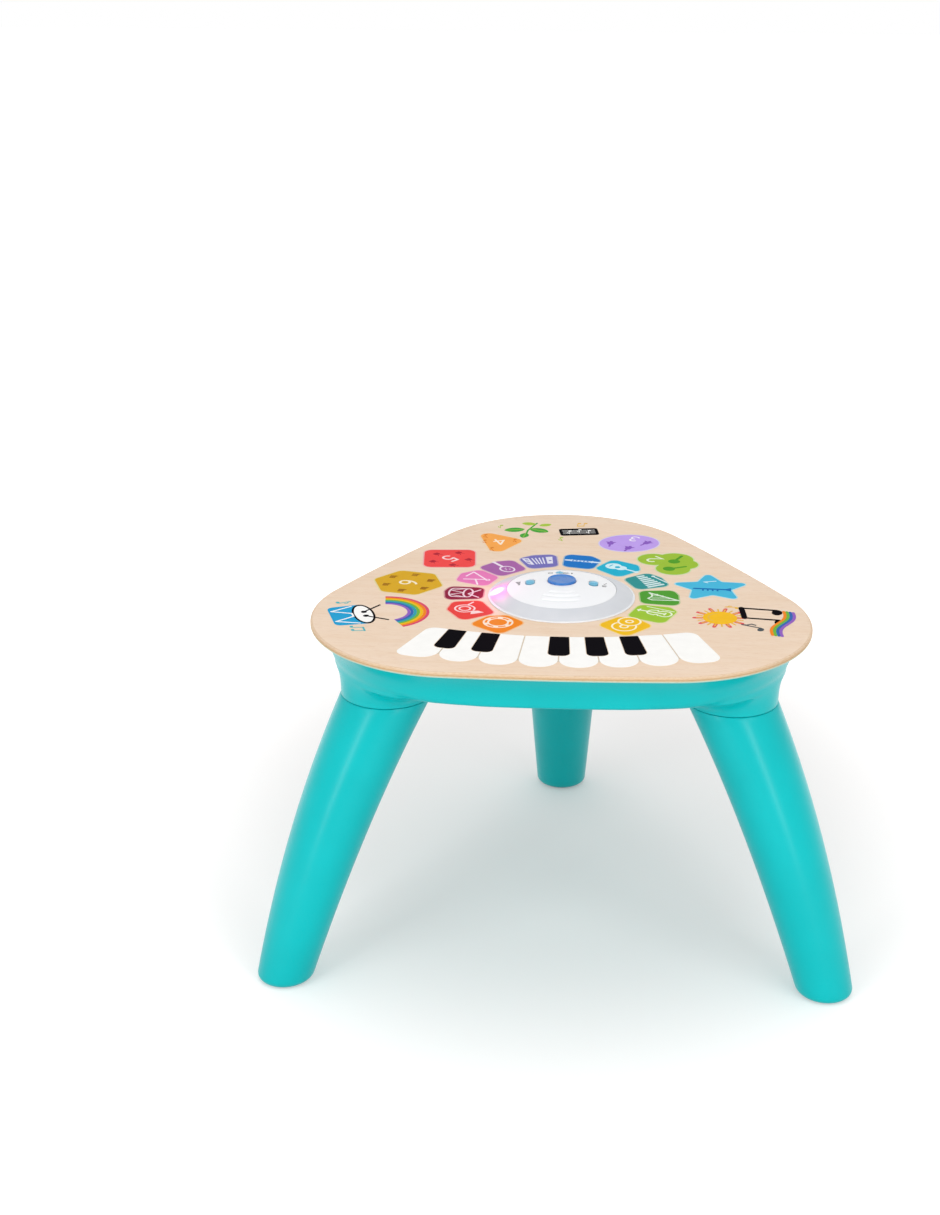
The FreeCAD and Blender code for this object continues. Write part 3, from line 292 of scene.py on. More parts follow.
# %% Moulded plastics
def moulded(name, colour, shade, roughness, grain_mm=0.9, grain_depth=0.012, **shader):
    """Moulded plastic: slow colour drift, slightly uneven gloss and a fine skin texture."""
    material, tree, surface = new_material(name, colour, roughness, **shader)
    drift = scaled_noise(tree, 60.0, 2.0)
    add_tint(tree, surface, drift.outputs["Fac"], [(0.3, shade), (0.7, colour)])
    grain = scaled_noise(tree, grain_mm, 4.0)
    add_gloss(tree, surface, grain.outputs["Fac"], roughness - 0.04, roughness + 0.06)
    add_bump(tree, surface, grain.outputs["Fac"], grain_depth)
    return material


polypropylene_turquoise = moulded("polypropylene_turquoise", "#02C5C8", "#02BFC2", 0.28, IOR=1.49,
                                  Specular_IOR_Level=0.2)
abs_white = moulded("abs_white", "#F3F4F6", "#F0F1F4", 0.2, grain_depth=0.004, IOR=1.54)
abs_blue = moulded("abs_blue", "#1A74C6", "#176CBC", 0.22, grain_depth=0.004, IOR=1.54)
abs_light_blue = moulded("abs_light_blue", "#79BFD9", "#70B6D2", 0.3, IOR=1.54)
abs_dark = moulded("abs_dark", "#26292F", "#1F2228", 0.45, IOR=1.54)
abs_grey = moulded("abs_grey", "#B9BEC3", "#B1B6BC", 0.5, IOR=1.54)
silicone_grey = moulded("silicone_grey", "#9CA1A6", "#94999E", 0.6, grain_mm=1.5)
rubber_black = moulded("rubber_black", "#3A3D40", "#323538", 0.8, grain_mm=1.2, grain_depth=0.05)
print("moulded plastics ready")

# %% [markdown]
# ## Birch plywood
# The face is a rotary-cut birch veneer under clear satin lacquer: pale, with faint streaks along
# the sheet and tiny darker flecks. The edge shows the plies, end grain between face veneers, a
# little darker under the lacquer. Its lowest line is painted pale green, a painted reflection of the
# turquoise casing below it, so the ramp over the height of the edge starts with that tint.

# %% Birch face and edge
birch_face, tree, surface = new_material("birch_face", "#ECD3BA", 0.42, IOR=1.5, Specular_IOR_Level=0.2)
streaks = scaled_noise(tree, 7.0, 3.0, (9, 1, 1))
flecks = scaled_noise(tree, 1.3, 4.0, (6, 1, 1))
veneer = ramp(tree, streaks.outputs["Fac"], [(0.3, "#EACFB4"), (0.5, "#ECD3BA"), (0.72, "#EED6BF")])
fleck = ramp(tree, flecks.outputs["Fac"], [(0.3, "#DDBD9C"), (0.46, "#FFFFFF")])
mixed = multiplied(tree, 0.22, veneer.outputs[0], fleck.outputs[0])
tree.links.new(mixed, surface.inputs["Base Color"])
add_bump(tree, surface, flecks.outputs["Fac"], 0.02)

birch_edge, tree, surface = new_material("birch_edge", "#D8B88E", 0.5, IOR=1.5, Specular_IOR_Level=0.12)
split = add(tree, "ShaderNodeSeparateXYZ", {0: object_place(tree)})
level = add(tree, "ShaderNodeMapRange", {
    "Value": split.outputs["Z"], "From Min": wood_bottom / 1000, "From Max": wood_top / 1000})
# The two lowest stops are pale green: a painted reflection of the casing, not a colour of the plies.
plies_and_painted_reflection = ramp(tree, level.outputs[0], [
    (0.0, "#C2E6DA"), (0.24, "#CCE8D8"), (0.31, "#DCCDAC"), (0.42, "#DAC3A0"),
    (0.48, "#CDA981"), (0.57, "#D0AD86"), (0.63, "#DFC3A0"), (0.8, "#E0C4A3"), (0.9, "#E4CBB0")])
grain = scaled_noise(tree, 1.6, 4.0, (2, 2, 0.5))
worn = ramp(tree, grain.outputs["Fac"], [(0.3, "#F2E2CE"), (0.6, "#FFFFFF")])
mixed = multiplied(tree, 0.6, plies_and_painted_reflection.outputs[0], worn.outputs[0])
tree.links.new(mixed, surface.inputs["Base Color"])
add_bump(tree, surface, grain.outputs["Fac"], 0.03)
print("birch ready")

# %% [markdown]
# ## Wooden top
# The outline is made of six arcs: three tight corners and three almost straight sides. All
# insets of it are concentric arcs, so the eased edges are exact rings. The face is skinned from
# the outline to the round hole for the dome.

# %% Outline rings
wood_ease = 2.0
corner_steps = 56
side_steps = 40
ease_steps = 6


def swept(centre, radius, start, end, shares):
    """Points on the shorter arc between two directions from a centre."""
    first = math.atan2(start[1], start[0])
    sweep = (math.atan2(end[1], end[0]) - first + math.pi) % (2 * math.pi) - math.pi
    turns = [first + sweep * share for share in shares]
    return [(centre[0] + radius * math.cos(t), centre[1] + radius * math.sin(t)) for t in turns]


def outline_points(inset):
    """Points round the table's edge at an inset, starting at the left corner."""
    points = []
    for angle in corner_angles:
        corner = around(corner_reach, angle)
        next_corner = around(corner_reach, angle + 120)
        side = around(-side_centre_reach, angle + 60)
        last_side = around(-side_centre_reach, angle - 60)
        arcs = ((corner, corner_radius, corner - last_side, corner - side, corner_steps),
                (side, side_radius, corner - side, next_corner - side, side_steps))
        for centre, radius, start, end, steps in arcs:
            points += swept(centre, radius - inset, start, end, np.arange(steps) / steps)
    return np.array(points)


def eased_edge():
    """Insets and heights over the rounded rim, from the underside to the face."""
    turns = np.radians(np.linspace(0, 90, ease_steps + 1))
    lower = [(wood_ease * (1 - math.sin(t)), wood_bottom + wood_ease * (1 - math.cos(t))) for t in turns]
    upper = [(wood_ease * (1 - math.cos(t)), wood_top - wood_ease * (1 - math.sin(t))) for t in turns]
    return lower + upper


print("outline points", len(outline_points(0.0)))

# %% Wooden top
hole_radius = 61.0
face_rows = 8
weld = 1e-6
rim_rings = [at_height(outline_points(inset), z) for inset, z in eased_edge()]
rim_points = outline_points(wood_ease)
angles = np.arctan2(rim_points[:, 1], rim_points[:, 0])
hole = np.column_stack([np.cos(angles), np.sin(angles)]) * hole_radius
shares = np.linspace(0, 1, face_rows + 1)
bm = bmesh.new()
add_grid(bm, rim_rings, material=1)
add_grid(bm, [at_height(rim_points * (1 - share) + hole * share, wood_top) for share in shares])
add_grid(bm, [at_height(hole, z) for z in (wood_top, wood_bottom)], material=1)
add_grid(bm, [at_height(hole, wood_bottom), rim_rings[0]])
bmesh.ops.remove_doubles(bm, verts=bm.verts, dist=weld)
make_piece("birch_top", bm, [birch_face, birch_edge], replaces=["top_panel"])

# %% [markdown]
# ## Casing
# The casing is one moulding that flows from its side wall into three sockets, with no crease
# between them. Such a blend is hard to draw with faces by hand, so the shape is described by a
# distance. Each socket is a mix of two shapes, level by level: the circle of the leg at the seam,
# and a wider round under the wall, held inside the outline. A surface net turns the distance into
# quads, and a few Newton steps pull each vertex exactly onto the surface.

# %% Casing sizes
skirt_inset = 17.0
rim_inset = 3.5
skirt_curve = 2.5
side_edge_blend = 4.0
corner_edge_blend = 14.0
corner_extra_inset = 2.0
corner_width = 45.0
join_blend = 5.0
socket_reach = 173.6
socket_radius = 40.4
socket_top_radius = 66.0
socket_curve = 1.8
socket_inset = 21.0
socket_top_blend = 8.0
socket_fade = 0.5
print("casing sockets", seam_z, "to", round(casing_bottom, 3), "wall to", wood_bottom)


# %% Casing distance
def smooth_least(a, b, width):
    """The lesser of two distances, rounded where they are alike."""
    near = np.maximum(width - np.abs(a - b), 0) / width
    return np.minimum(a, b) - near * near * width / 4


def smooth_most(a, b, width):
    """The greater of two distances, rounded where they are alike."""
    return -smooth_least(-a, -b, width)


def outline_distance(x, y):
    """Distance outside the table's edge, negative inside."""
    sides = [around(-side_centre_reach, angle + 60) for angle in corner_angles]
    distance = np.maximum.reduce([np.hypot(x - s[0], y - s[1]) - side_radius for s in sides])
    for i, angle in enumerate(corner_angles):
        corner = around(corner_reach, angle)
        before = corner - sides[i - 1]
        after = corner - sides[i]
        dx, dy = x - corner[0], y - corner[1]
        in_corner = (before[0] * dy - before[1] * dx > 0) & (after[0] * dy - after[1] * dx < 0)
        distance = np.where(in_corner, np.hypot(dx, dy) - corner_radius, distance)
    return distance


def corner_nearness(x, y):
    """One at the middle of a corner, falling softly to nothing at the sides."""
    bearing = np.degrees(np.arctan2(y, x))
    away = [np.abs((bearing - angle + 180) % 360 - 180) for angle in corner_angles]
    return np.clip(1 - (np.minimum.reduce(away) / corner_width) ** 2, 0, 1) ** 2


def casing_distance(x, y, z):
    """Distance outside the casing's skin, negative inside."""
    rise = np.clip((z - casing_bottom) / (wood_bottom - casing_bottom), 0, 1)
    near = corner_nearness(x, y)
    lowest_inset = skirt_inset + corner_extra_inset * near
    inset = lowest_inset - (lowest_inset - rim_inset) * rise ** skirt_curve
    outside = outline_distance(x, y)
    edge_blend = side_edge_blend + (corner_edge_blend - side_edge_blend) * near
    skin = smooth_most(outside + inset, casing_bottom - z, edge_blend)
    spread = np.clip((z - seam_z) / (casing_bottom - seam_z), 0, 1) ** socket_curve
    for angle in corner_angles:
        way = around(socket_reach, angle)
        away = np.hypot(x - way[0], y - way[1])
        wide = smooth_most(away - socket_top_radius, outside + socket_inset, socket_top_blend)
        socket = (1 - spread) * (away - socket_radius) + spread * wide
        socket = socket + np.maximum(z - casing_bottom, 0) * socket_fade
        skin = smooth_least(skin, socket, join_blend)
    return skin


print("distance at the dome's axis", round(float(casing_distance(0.0, 0.0, wood_bottom)), 2))


# %% Surface net
def surface_net(field, origin, step):
    """Quads on the zero level of a gridded field, one vertex in each mixed cell."""
    cells = tuple(n - 1 for n in field.shape)
    total = np.zeros(cells + (3,))
    count = np.zeros(cells)
    index = np.stack(np.meshgrid(*[np.arange(n) for n in cells], indexing="ij"), -1)
    crossings = []
    for axis in range(3):
        low = np.take(field, np.arange(field.shape[axis] - 1), axis)
        high = np.take(field, np.arange(1, field.shape[axis]), axis)
        crossing = (low < 0) != (high < 0)
        share = np.where(crossing, low / np.where(crossing, low - high, 1), 0)
        crossings.append((crossing, low < 0))
        one, two = (axis + 1) % 3, (axis + 2) % 3
        for shift_one in (0, 1):
            for shift_two in (0, 1):
                window = [slice(None)] * 3
                window[one] = slice(shift_one, shift_one + cells[one])
                window[two] = slice(shift_two, shift_two + cells[two])
                hit = crossing[tuple(window)]
                offset = np.zeros(cells + (3,))
                offset[..., axis] = share[tuple(window)]
                offset[..., one] = shift_one
                offset[..., two] = shift_two
                total += np.where(hit[..., None], index + offset, 0)
                count += hit
    mixed = count > 0
    number = np.full(cells, -1)
    number[mixed] = np.arange(mixed.sum())
    points = origin + step * total[mixed] / count[mixed][:, None]
    quads = []
    for axis, (crossing, inside_low) in enumerate(crossings):
        one, two = (axis + 1) % 3, (axis + 2) % 3
        edges = np.argwhere(crossing)
        fits = (edges[:, one] > 0) & (edges[:, two] > 0)
        fits &= (edges[:, one] < cells[one]) & (edges[:, two] < cells[two])
        edges = edges[fits]
        around_edge = []
        for shift_one, shift_two in ((-1, -1), (0, -1), (0, 0), (-1, 0)):
            cell = edges.copy()
            cell[:, one] += shift_one
            cell[:, two] += shift_two
            around_edge.append(number[tuple(cell.T)])
        quad = np.stack(around_edge, -1)
        outward = inside_low[tuple(edges.T)]
        quad[~outward] = quad[~outward][:, ::-1]
        quads.append(quad)
    return points, np.concatenate(quads)


print("surface net ready")

# %% Newton steps
newton_rounds = 4
least_slope = 0.05


def pull_onto(distance, points):
    """Moves points along the gradient until the distance is zero."""
    step = 0.05
    for _ in range(newton_rounds):
        x, y, z = points.T
        value = distance(x, y, z)
        gradient = np.stack([
            distance(x + step, y, z) - distance(x - step, y, z),
            distance(x, y + step, z) - distance(x, y - step, z),
            distance(x, y, z + step) - distance(x, y, z - step)], -1) / (2 * step)
        length = np.maximum((gradient ** 2).sum(-1), least_slope)
        points = points - gradient * (value / length)[:, None]
    return points


print("newton rounds", newton_rounds)

# %% Casing skin
net_step = 2.1
grid_low = np.array([-226.0, -190.0, seam_z - 3.3])
grid_high = np.array([226.0, 240.0, wood_bottom + 3.0])
axes = [np.arange(a, b, net_step) for a, b in zip(grid_low, grid_high)]
gx, gy, gz = np.meshgrid(*axes, indexing="ij")
net_points, net_quads = surface_net(casing_distance(gx, gy, gz), grid_low, net_step)
net_points = pull_onto(casing_distance, net_points)
mesh = bpy.data.meshes.new("net")
mesh.from_pydata(metres(net_points).tolist(), [], net_quads.tolist())
bm = bmesh.new()
bm.from_mesh(mesh)
bpy.data.meshes.remove(mesh)
for height, keep_below in ((wood_bottom, True), (seam_z, False)):
    everything = list(bm.verts) + list(bm.edges) + list(bm.faces)
    bmesh.ops.bisect_plane(bm, geom=everything, plane_co=(0, 0, height / 1000), plane_no=(0, 0, 1),
                           clear_outer=keep_below, clear_inner=not keep_below)
    bmesh.ops.holes_fill(bm, edges=[e for e in bm.edges if e.is_boundary], sides=0)
bmesh.ops.recalc_face_normals(bm, faces=bm.faces)
print("casing skin faces", len(bm.faces), "open edges", sum(e.is_boundary for e in bm.edges))

# %% [markdown]
# The battery bay, the screw wells and the leg sockets are pockets in that skin. They are cut with
# an exact boolean, by cutters whose sizes are those of the pieces that go in.


# %% Simple solids and cuts
def add_cylinder(bm, radius, low, high, x, y, steps):
    """Closed upright cylinder."""
    add_solid(bm, [at_height(circle(radius, steps, x, y), z) for z in (low, high)])


def add_block(bm, low, high):
    """Closed upright block between two corners."""
    corners = [(low[0], low[1]), (high[0], low[1]), (high[0], high[1]), (low[0], high[1])]
    add_solid(bm, [at_height(corners, z) for z in (low[2], high[2])])


def cut_with(piece_bm, cutter_bm):
    """Cuts one closed bmesh by another with Blender's exact boolean."""
    objects = []
    for source in (piece_bm, cutter_bm):
        mesh = bpy.data.meshes.new("boolean_part")
        source.to_mesh(mesh)
        source.free()
        objects.append(bpy.data.objects.new("boolean_part", mesh))
        bpy.context.scene.collection.objects.link(objects[-1])
    cut = objects[0].modifiers.new("cut", "BOOLEAN")
    cut.object = objects[1]
    cut.operation = "DIFFERENCE"
    cut.solver = "EXACT"
    graph = bpy.context.evaluated_depsgraph_get()
    result = bmesh.new()
    result.from_mesh(objects[0].evaluated_get(graph).to_mesh())
    for made in objects:
        mesh = made.data
        bpy.data.objects.remove(made)
        bpy.data.meshes.remove(mesh)
    return result


def centred(node):
    """Lowest and highest corner of a node, about the dome's axis."""
    low, high = node_box(node)
    return np.array(low) - (0, dome_y, 0), np.array(high) - (0, dome_y, 0)


print("solids and cuts ready")

# %% Casing pockets
socket_bore = 32.3
socket_depth = 38.0
screw_well = 3.6
screw_head_height = 2.2
screw_inset = 36.0
screw_spacing = 95.0
door_gap = 0.4
door_screw_hole = 1.5
door_screw_play = 0.5
bay_gap = 0.02
bay_overlap = 1.0
overshoot = 2.0
cutters = bmesh.new()
for angle in corner_angles:
    x, y = around(socket_reach, angle)
    add_cylinder(cutters, socket_bore, seam_z - overshoot, seam_z + socket_depth, x, y, 96)
screw_low, screw_high = centred("wood_screws")
head_seat = screw_low[2] + screw_head_height
side_middle = side_radius - side_centre_reach - screw_inset
for side in side_angles:
    for shift in (-screw_spacing, 0.0, screw_spacing):
        x, y = around(side_middle, side) + around(shift, side + 90)
        add_cylinder(cutters, screw_well, casing_bottom - overshoot, head_seat, x, y, 24)
door_low, door_high = centred("battery_door")
bay_low, bay_high = centred("battery_box")
add_block(cutters, door_low - (door_gap, door_gap, overshoot), door_high + (door_gap, door_gap, 0))
add_block(cutters, bay_low - (bay_gap, bay_gap, bay_overlap), bay_high + bay_gap)
for node in ("door_screw_left", "door_screw_right"):
    low, high = centred(node)
    x, y = (low + high)[:2] / 2
    add_cylinder(cutters, door_screw_hole, casing_bottom, high[2] + door_screw_play, x, y, 24)
casing_bm = cut_with(bm, cutters)
make_piece("casing", casing_bm, [polypropylene_turquoise], replaces=["base_shell"],
           sharp=40)

# %% [markdown]
# ## Legs
# A leg is moulded plastic too: level cuts through it are circles whose middles lie on a curve,
# steep at the foot and splayed at the top. That is a rule, so one Geometry Nodes tree makes all
# three. It turns half a section (a line of radius and height) round the leg's axis, and shifts
# every level by the curve. De Casteljau's mixes give the curve from four control values.

# %% Leg profile
foot_radius = 25.0
leg_top_radius = 40.4
leg_bulge = 1.0
leg_wall = 3.0
leg_floor = 6.0
foot_round = 6.5
foot_lift = 0.8
pad_recess = 17.1
pad_height = 3.0
seam_gap = 0.8
end_round = 0.8
shoulder_radius = 33.6
spigot_radius = 32.0
spigot_bore = 29.0
spigot_height = 32.0


def leg_radius(z):
    """Outer radius of a leg at a height: a straight taper with a slight bulge."""
    t = z / seam_z
    return foot_radius + (leg_top_radius - foot_radius) * t + 4 * leg_bulge * t * (1 - t)


def leg_profile():
    """Radius and height along half a section, from under the foot to inside the tube."""
    top = seam_z - seam_gap
    end = seam_z + spigot_height
    profile = [(0.0, pad_height), (pad_recess, pad_height), (pad_recess, foot_lift),
               (leg_radius(foot_lift) - foot_round, foot_lift)]
    for turn in np.radians(np.linspace(10, 90, 9)):
        z = foot_lift + foot_round * (1 - math.cos(turn))
        profile.append((leg_radius(z) - foot_round * (1 - math.sin(turn)), z))
    for z in np.linspace(foot_lift + foot_round, top - end_round, 40)[1:]:
        profile.append((leg_radius(z), z))
    profile += [(leg_radius(top) - 0.25, top - 0.2), (leg_radius(top) - end_round, top)]
    profile += [(shoulder_radius, top), (shoulder_radius, seam_z), (spigot_radius, seam_z)]
    profile += [(spigot_radius, end - end_round), (spigot_radius - end_round, end)]
    profile += [(spigot_bore + 0.2, end), (spigot_bore, end - 0.2), (spigot_bore, top - leg_wall - 0.2)]
    for z in np.linspace(top - leg_wall - 0.4, leg_floor, 14):
        profile.append((leg_radius(z) - leg_wall, z))
    profile.append((0.0, leg_floor))
    return profile


print("leg profile points", len(leg_profile()))


# %% Tree helpers
def new_tree(name, inputs, output):
    """Geometry Nodes tree with named inputs and one result, and the inputs' sockets."""
    tree = bpy.data.node_groups.new(name, "GeometryNodeTree")
    for label, kind in inputs.items():
        tree.interface.new_socket(label, in_out="INPUT", socket_type="NodeSocket" + kind)
    tree.interface.new_socket(output, in_out="OUTPUT", socket_type="NodeSocketGeometry")
    return tree, tree.nodes.new("NodeGroupInput").outputs


def position(tree):
    """Position of each point, as a socket."""
    return tree.nodes.new("GeometryNodeInputPosition").outputs[0]


def hand_out(tree, geometry, material):
    """Makes copies real, coats them and gives them to the tree's output."""
    realised = add(tree, "GeometryNodeRealizeInstances", {0: geometry})
    coated = add(tree, "GeometryNodeSetMaterial", {0: realised.outputs[0], "Material": material})
    add(tree, "NodeGroupOutput", {0: coated.outputs[0]})


def run_tree(tree, mesh, values):
    """Runs a tree on a mesh with named inputs, and gives the result as a bmesh."""
    holder = bpy.data.objects.new("tree_holder", mesh)
    bpy.context.scene.collection.objects.link(holder)
    modifier = holder.modifiers.new("tree", "NODES")
    modifier.node_group = tree
    for item in tree.interface.items_tree:
        if item.item_type == "SOCKET" and item.in_out == "INPUT" and item.name in values:
            modifier[item.identifier] = values[item.name]
    graph = bpy.context.evaluated_depsgraph_get()
    result = bpy.data.meshes.new_from_object(holder.evaluated_get(graph))
    bm = bmesh.new()
    bm.from_mesh(result)
    bpy.data.objects.remove(holder)
    for used in (mesh, result):
        bpy.data.meshes.remove(used)
    return bm


print("tree helpers ready")


# %% Leg tree
def leg_tree(material):
    """Turned profile whose levels follow a curved axis, then turned to an azimuth."""
    controls = ("Foot reach", "Lower handle", "Upper handle", "Seam reach")
    inputs = {"Profile": "Geometry", "Azimuth": "Float", **dict.fromkeys(controls, "Float"),
              "Seam height": "Float", "Segments": "Int"}
    tree, source = new_tree("leaning_lathe", inputs, "Leg")
    rows = add(tree, "GeometryNodeAttributeDomainSize", {0: source["Profile"]}, component="MESH")
    grid = add(tree, "GeometryNodeMeshGrid", {
        "Size X": 1.0, "Size Y": 1.0, "Vertices X": source["Segments"], "Vertices Y": rows.outputs[0]})
    place = add(tree, "ShaderNodeSeparateXYZ", {0: position(tree)})
    share = math_node(tree, "ADD", place.outputs["Y"], 0.5)
    last_row = math_node(tree, "SUBTRACT", rows.outputs[0], 1.0)
    row = math_node(tree, "ROUND", math_node(tree, "MULTIPLY", share, last_row))
    sample = add(tree, "GeometryNodeSampleIndex", {
        0: source["Profile"], "Value": position(tree), "Index": row}, data_type="FLOAT_VECTOR")
    section = add(tree, "ShaderNodeSeparateXYZ", {0: sample.outputs[0]})
    level = math_node(tree, "DIVIDE", section.outputs["Z"], source["Seam height"], use_clamp=True)
    mixes = [source[name] for name in controls]
    while len(mixes) > 1:
        pairs = zip(mixes, mixes[1:])
        mixes = [add(tree, "ShaderNodeMix", {0: level, 2: a, 3: b}).outputs[0] for a, b in pairs]
    turn = math_node(tree, "MULTIPLY", math_node(tree, "ADD", place.outputs["X"], 0.5), 2 * math.pi)
    across = math_node(tree, "MULTIPLY", math_node(tree, "COSINE", turn), section.outputs["X"])
    beside = math_node(tree, "MULTIPLY", math_node(tree, "SINE", turn), section.outputs["X"])
    point = add(tree, "ShaderNodeCombineXYZ", {
        "X": math_node(tree, "ADD", across, mixes[0]), "Y": beside, "Z": section.outputs["Z"]})
    turned = add(tree, "ShaderNodeVectorRotate", {0: point.outputs[0], "Angle": source["Azimuth"]},
                 rotation_type="Z_AXIS")
    placed = add(tree, "GeometryNodeSetPosition", {0: grid.outputs[0], "Position": turned.outputs[0]})
    merged = add(tree, "GeometryNodeMergeByDistance", {0: placed.outputs[0], "Distance": weld})
    hand_out(tree, merged.outputs[0], material)
    return tree


lathe = leg_tree(polypropylene_turquoise)
print("leg tree nodes", len(lathe.nodes))

# %% Legs
foot_reach = 279.0
foot_lean = math.tan(math.radians(16.6))
top_lean = math.tan(math.radians(28.8))
leg_segments = 97
for name, angle in leg_angles.items():
    points = [(r / 1000, 0.0, z / 1000) for r, z in leg_profile()]
    profile = bpy.data.meshes.new("leg_profile")
    profile.from_pydata(points, [(i, i + 1) for i in range(len(points) - 1)], [])
    bm = run_tree(lathe, profile, {
        "Azimuth": math.radians(angle),
        "Foot reach": foot_reach / 1000,
        "Lower handle": (foot_reach - foot_lean * seam_z / 3) / 1000,
        "Upper handle": (socket_reach + top_lean * seam_z / 3) / 1000,
        "Seam reach": socket_reach / 1000,
        "Seam height": seam_z / 1000,
        "Segments": leg_segments})
    bmesh.ops.translate(bm, verts=bm.verts, vec=(0, dome_y / 1000, 0))
    bmesh.ops.recalc_face_normals(bm, faces=bm.faces)
    print("open edges", sum(e.is_boundary for e in bm.edges))
    make_piece("moulded_leg_" + name, bm, [polypropylene_turquoise], body="leg_" + name,
               replaces=["leg_" + name], sharp=40)

# %% [markdown]
# ## Light ring
# A frosted polycarbonate ring slopes up from the wood to the dome and spreads the light of small
# lamps under it. One lamp at the left is lit: a white core in a wide pink halo. Both are an
# emission that fades with the distance from the lamp, and in the halo the ring's base colour is
# also painted pink, a painted glow. A tiny pink lamp over it tints the dome's rim and the wood
# beside it.

# %% Ring materials
lamp_place = np.array([-58.5, -1.0, wood_top + 4.0])
lamp = tuple(metres([lamp_place])[0])

frosted_ring, tree, surface = new_material(
    "polycarbonate_frosted", "#D0D2D8", 0.4, IOR=1.58, Specular_IOR_Level=0.3, Subsurface_Weight=0.35,
    Subsurface_Radius=(1.0, 1.0, 1.0), Subsurface_Scale=0.002)
haze = scaled_noise(tree, 26.0, 2.0)
tint = ramp(tree, haze.outputs["Fac"], [(0.3, "#CDD0D6"), (0.7, "#D5D7DC")])
distance = add(tree, "ShaderNodeVectorMath", {0: object_place(tree), 1: lamp}, operation="DISTANCE")
halo = add(tree, "ShaderNodeMapRange", {
    "Value": distance.outputs["Value"], "From Min": 0.004, "From Max": 0.03, "To Min": 0.9, "To Max": 0.0},
    interpolation_type="SMOOTHSTEP")
core = add(tree, "ShaderNodeMapRange", {
    "Value": distance.outputs["Value"], "From Min": 0.002, "From Max": 0.012, "To Min": 1.0, "To Max": 0.0},
    interpolation_type="SMOOTHERSTEP")
# In the halo the base colour turns pink: a painted glow on the ring's surface, beside its emission.
lit = add(tree, "ShaderNodeMix", {0: halo.outputs[0], 6: tint.outputs[0], 7: paint("#F09BD6")},
          data_type="RGBA")
tree.links.new(lit.outputs[2], surface.inputs["Base Color"])
halo_power = math_node(tree, "MULTIPLY", halo.outputs[0], 0.16)
power = add(tree, "ShaderNodeMath", {0: core.outputs[0], 1: 1.5, 2: halo_power}, operation="MULTIPLY_ADD")
hue = ramp(tree, core.outputs[0], [(0.0, "#F26FC0"), (0.5, "#FAB4DC"), (1.0, "#FFF4F9")])
tree.links.new(hue.outputs[0], surface.inputs["Emission Color"])
tree.links.new(power.outputs[0], surface.inputs["Emission Strength"])

# The lip is the same polycarbonate as the slope, painted paler: a painted highlight along its rounded edge.
lip_painted_highlight, tree, surface = new_material("polycarbonate_lip_painted_highlight", "#E4E6EB", 0.25, IOR=1.58)
edge_haze = scaled_noise(tree, 9.0, 2.0)
add_tint(tree, surface, edge_haze.outputs["Fac"], [(0.3, "#E1E4E9"), (0.7, "#E9EBEF")])
print("ring materials ready")

# %% Light ring
ring_outer = 66.3
ring_inner = 49.7
ring_seat = 60.6
ring_collar = 58.6
ring_bow = 0.45
ring_steps = 256


def lathe_rows(profile, steps, x=0.0, y=0.0):
    """Rings of points for a turned profile of radius and height."""
    return [at_height(circle(radius, steps, x, y), z) for radius, z in profile]


def bowed(start, end, rise, steps):
    """Points on a flat bow that rises over the straight line at its middle."""
    start, end = np.array(start), np.array(end)
    control = (start + end) / 2 + (0.0, 2 * rise)
    t = np.linspace(0, 1, steps)[:, None]
    return (1 - t) ** 2 * start + 2 * t * (1 - t) * control + t ** 2 * end


bm = bmesh.new()
lip = ((0.7, -0.3), (0.2, 0.05), (0.0, 0.4), (0.1, 0.9), (0.6, 1.25), (1.3, 1.45), (1.7, 1.4))
lip_profile = [(ring_seat, wood_top - 0.3)] + [(ring_outer - inset, wood_top + rise) for inset, rise in lip]
add_grid(bm, lathe_rows(lip_profile, ring_steps), material=1)
slope = [tuple(p) for p in bowed(lip_profile[-1], (ring_inner, ring_high.z), ring_bow, 16)]
under = [(ring_inner, ring_high.z - 2), (ring_collar, wood_top + 2.1), (ring_collar, wood_bottom),
         (ring_seat, wood_bottom)]
add_grid(bm, lathe_rows(slope + under + [lip_profile[0]], ring_steps))
bmesh.ops.remove_doubles(bm, verts=bm.verts, dist=weld)
bmesh.ops.recalc_face_normals(bm, faces=bm.faces)
make_piece("frosted_ring", bm, [frosted_ring, lip_painted_highlight], replaces=["light_ring"])

glow_data = bpy.data.lights.new("ring_glow", "POINT")
glow_data.energy = 0.010
glow_data.shadow_soft_size = 0.006
glow_data.color = paint("#FF6FC8")[:3]
glow = bpy.data.objects.new("ring_glow", glow_data)
glow.location = Vector(lamp) + Vector((-0.003, 0.0, 0.011))
bpy.context.scene.collection.objects.link(glow)

# %% [markdown]
# ## Dome
# The dome is a shallow spherical cap in glossy white ABS. Its speaker grille is three soft
# curved waves pressed into the front, so the skin is a polar grid whose heights follow a rule:
# the sphere, less a groove wherever a point is near one of the arcs round the push button.

# %% Dome and grille heights
cap_radius = 49.5
cap_edge = 7.5
cap_apex = 12.5
cap_wall = 2.2
cap_round = 0.8
cap_hub = 0.4
cap_steps = 300
button_y = 8.0
cap_sag = cap_apex - cap_edge
cap_sphere = (cap_radius ** 2 + cap_sag ** 2) / (2 * cap_sag)
grille = ((28.0, 20.0), (36.0, 25.0), (44.0, 21.0))
groove_half = 2.6
groove_depth = 0.75


def cap_height(x, y):
    """Height of the dome's skin, without the grille."""
    return wood_top + cap_apex - cap_sphere + np.sqrt(cap_sphere ** 2 - x ** 2 - y ** 2)


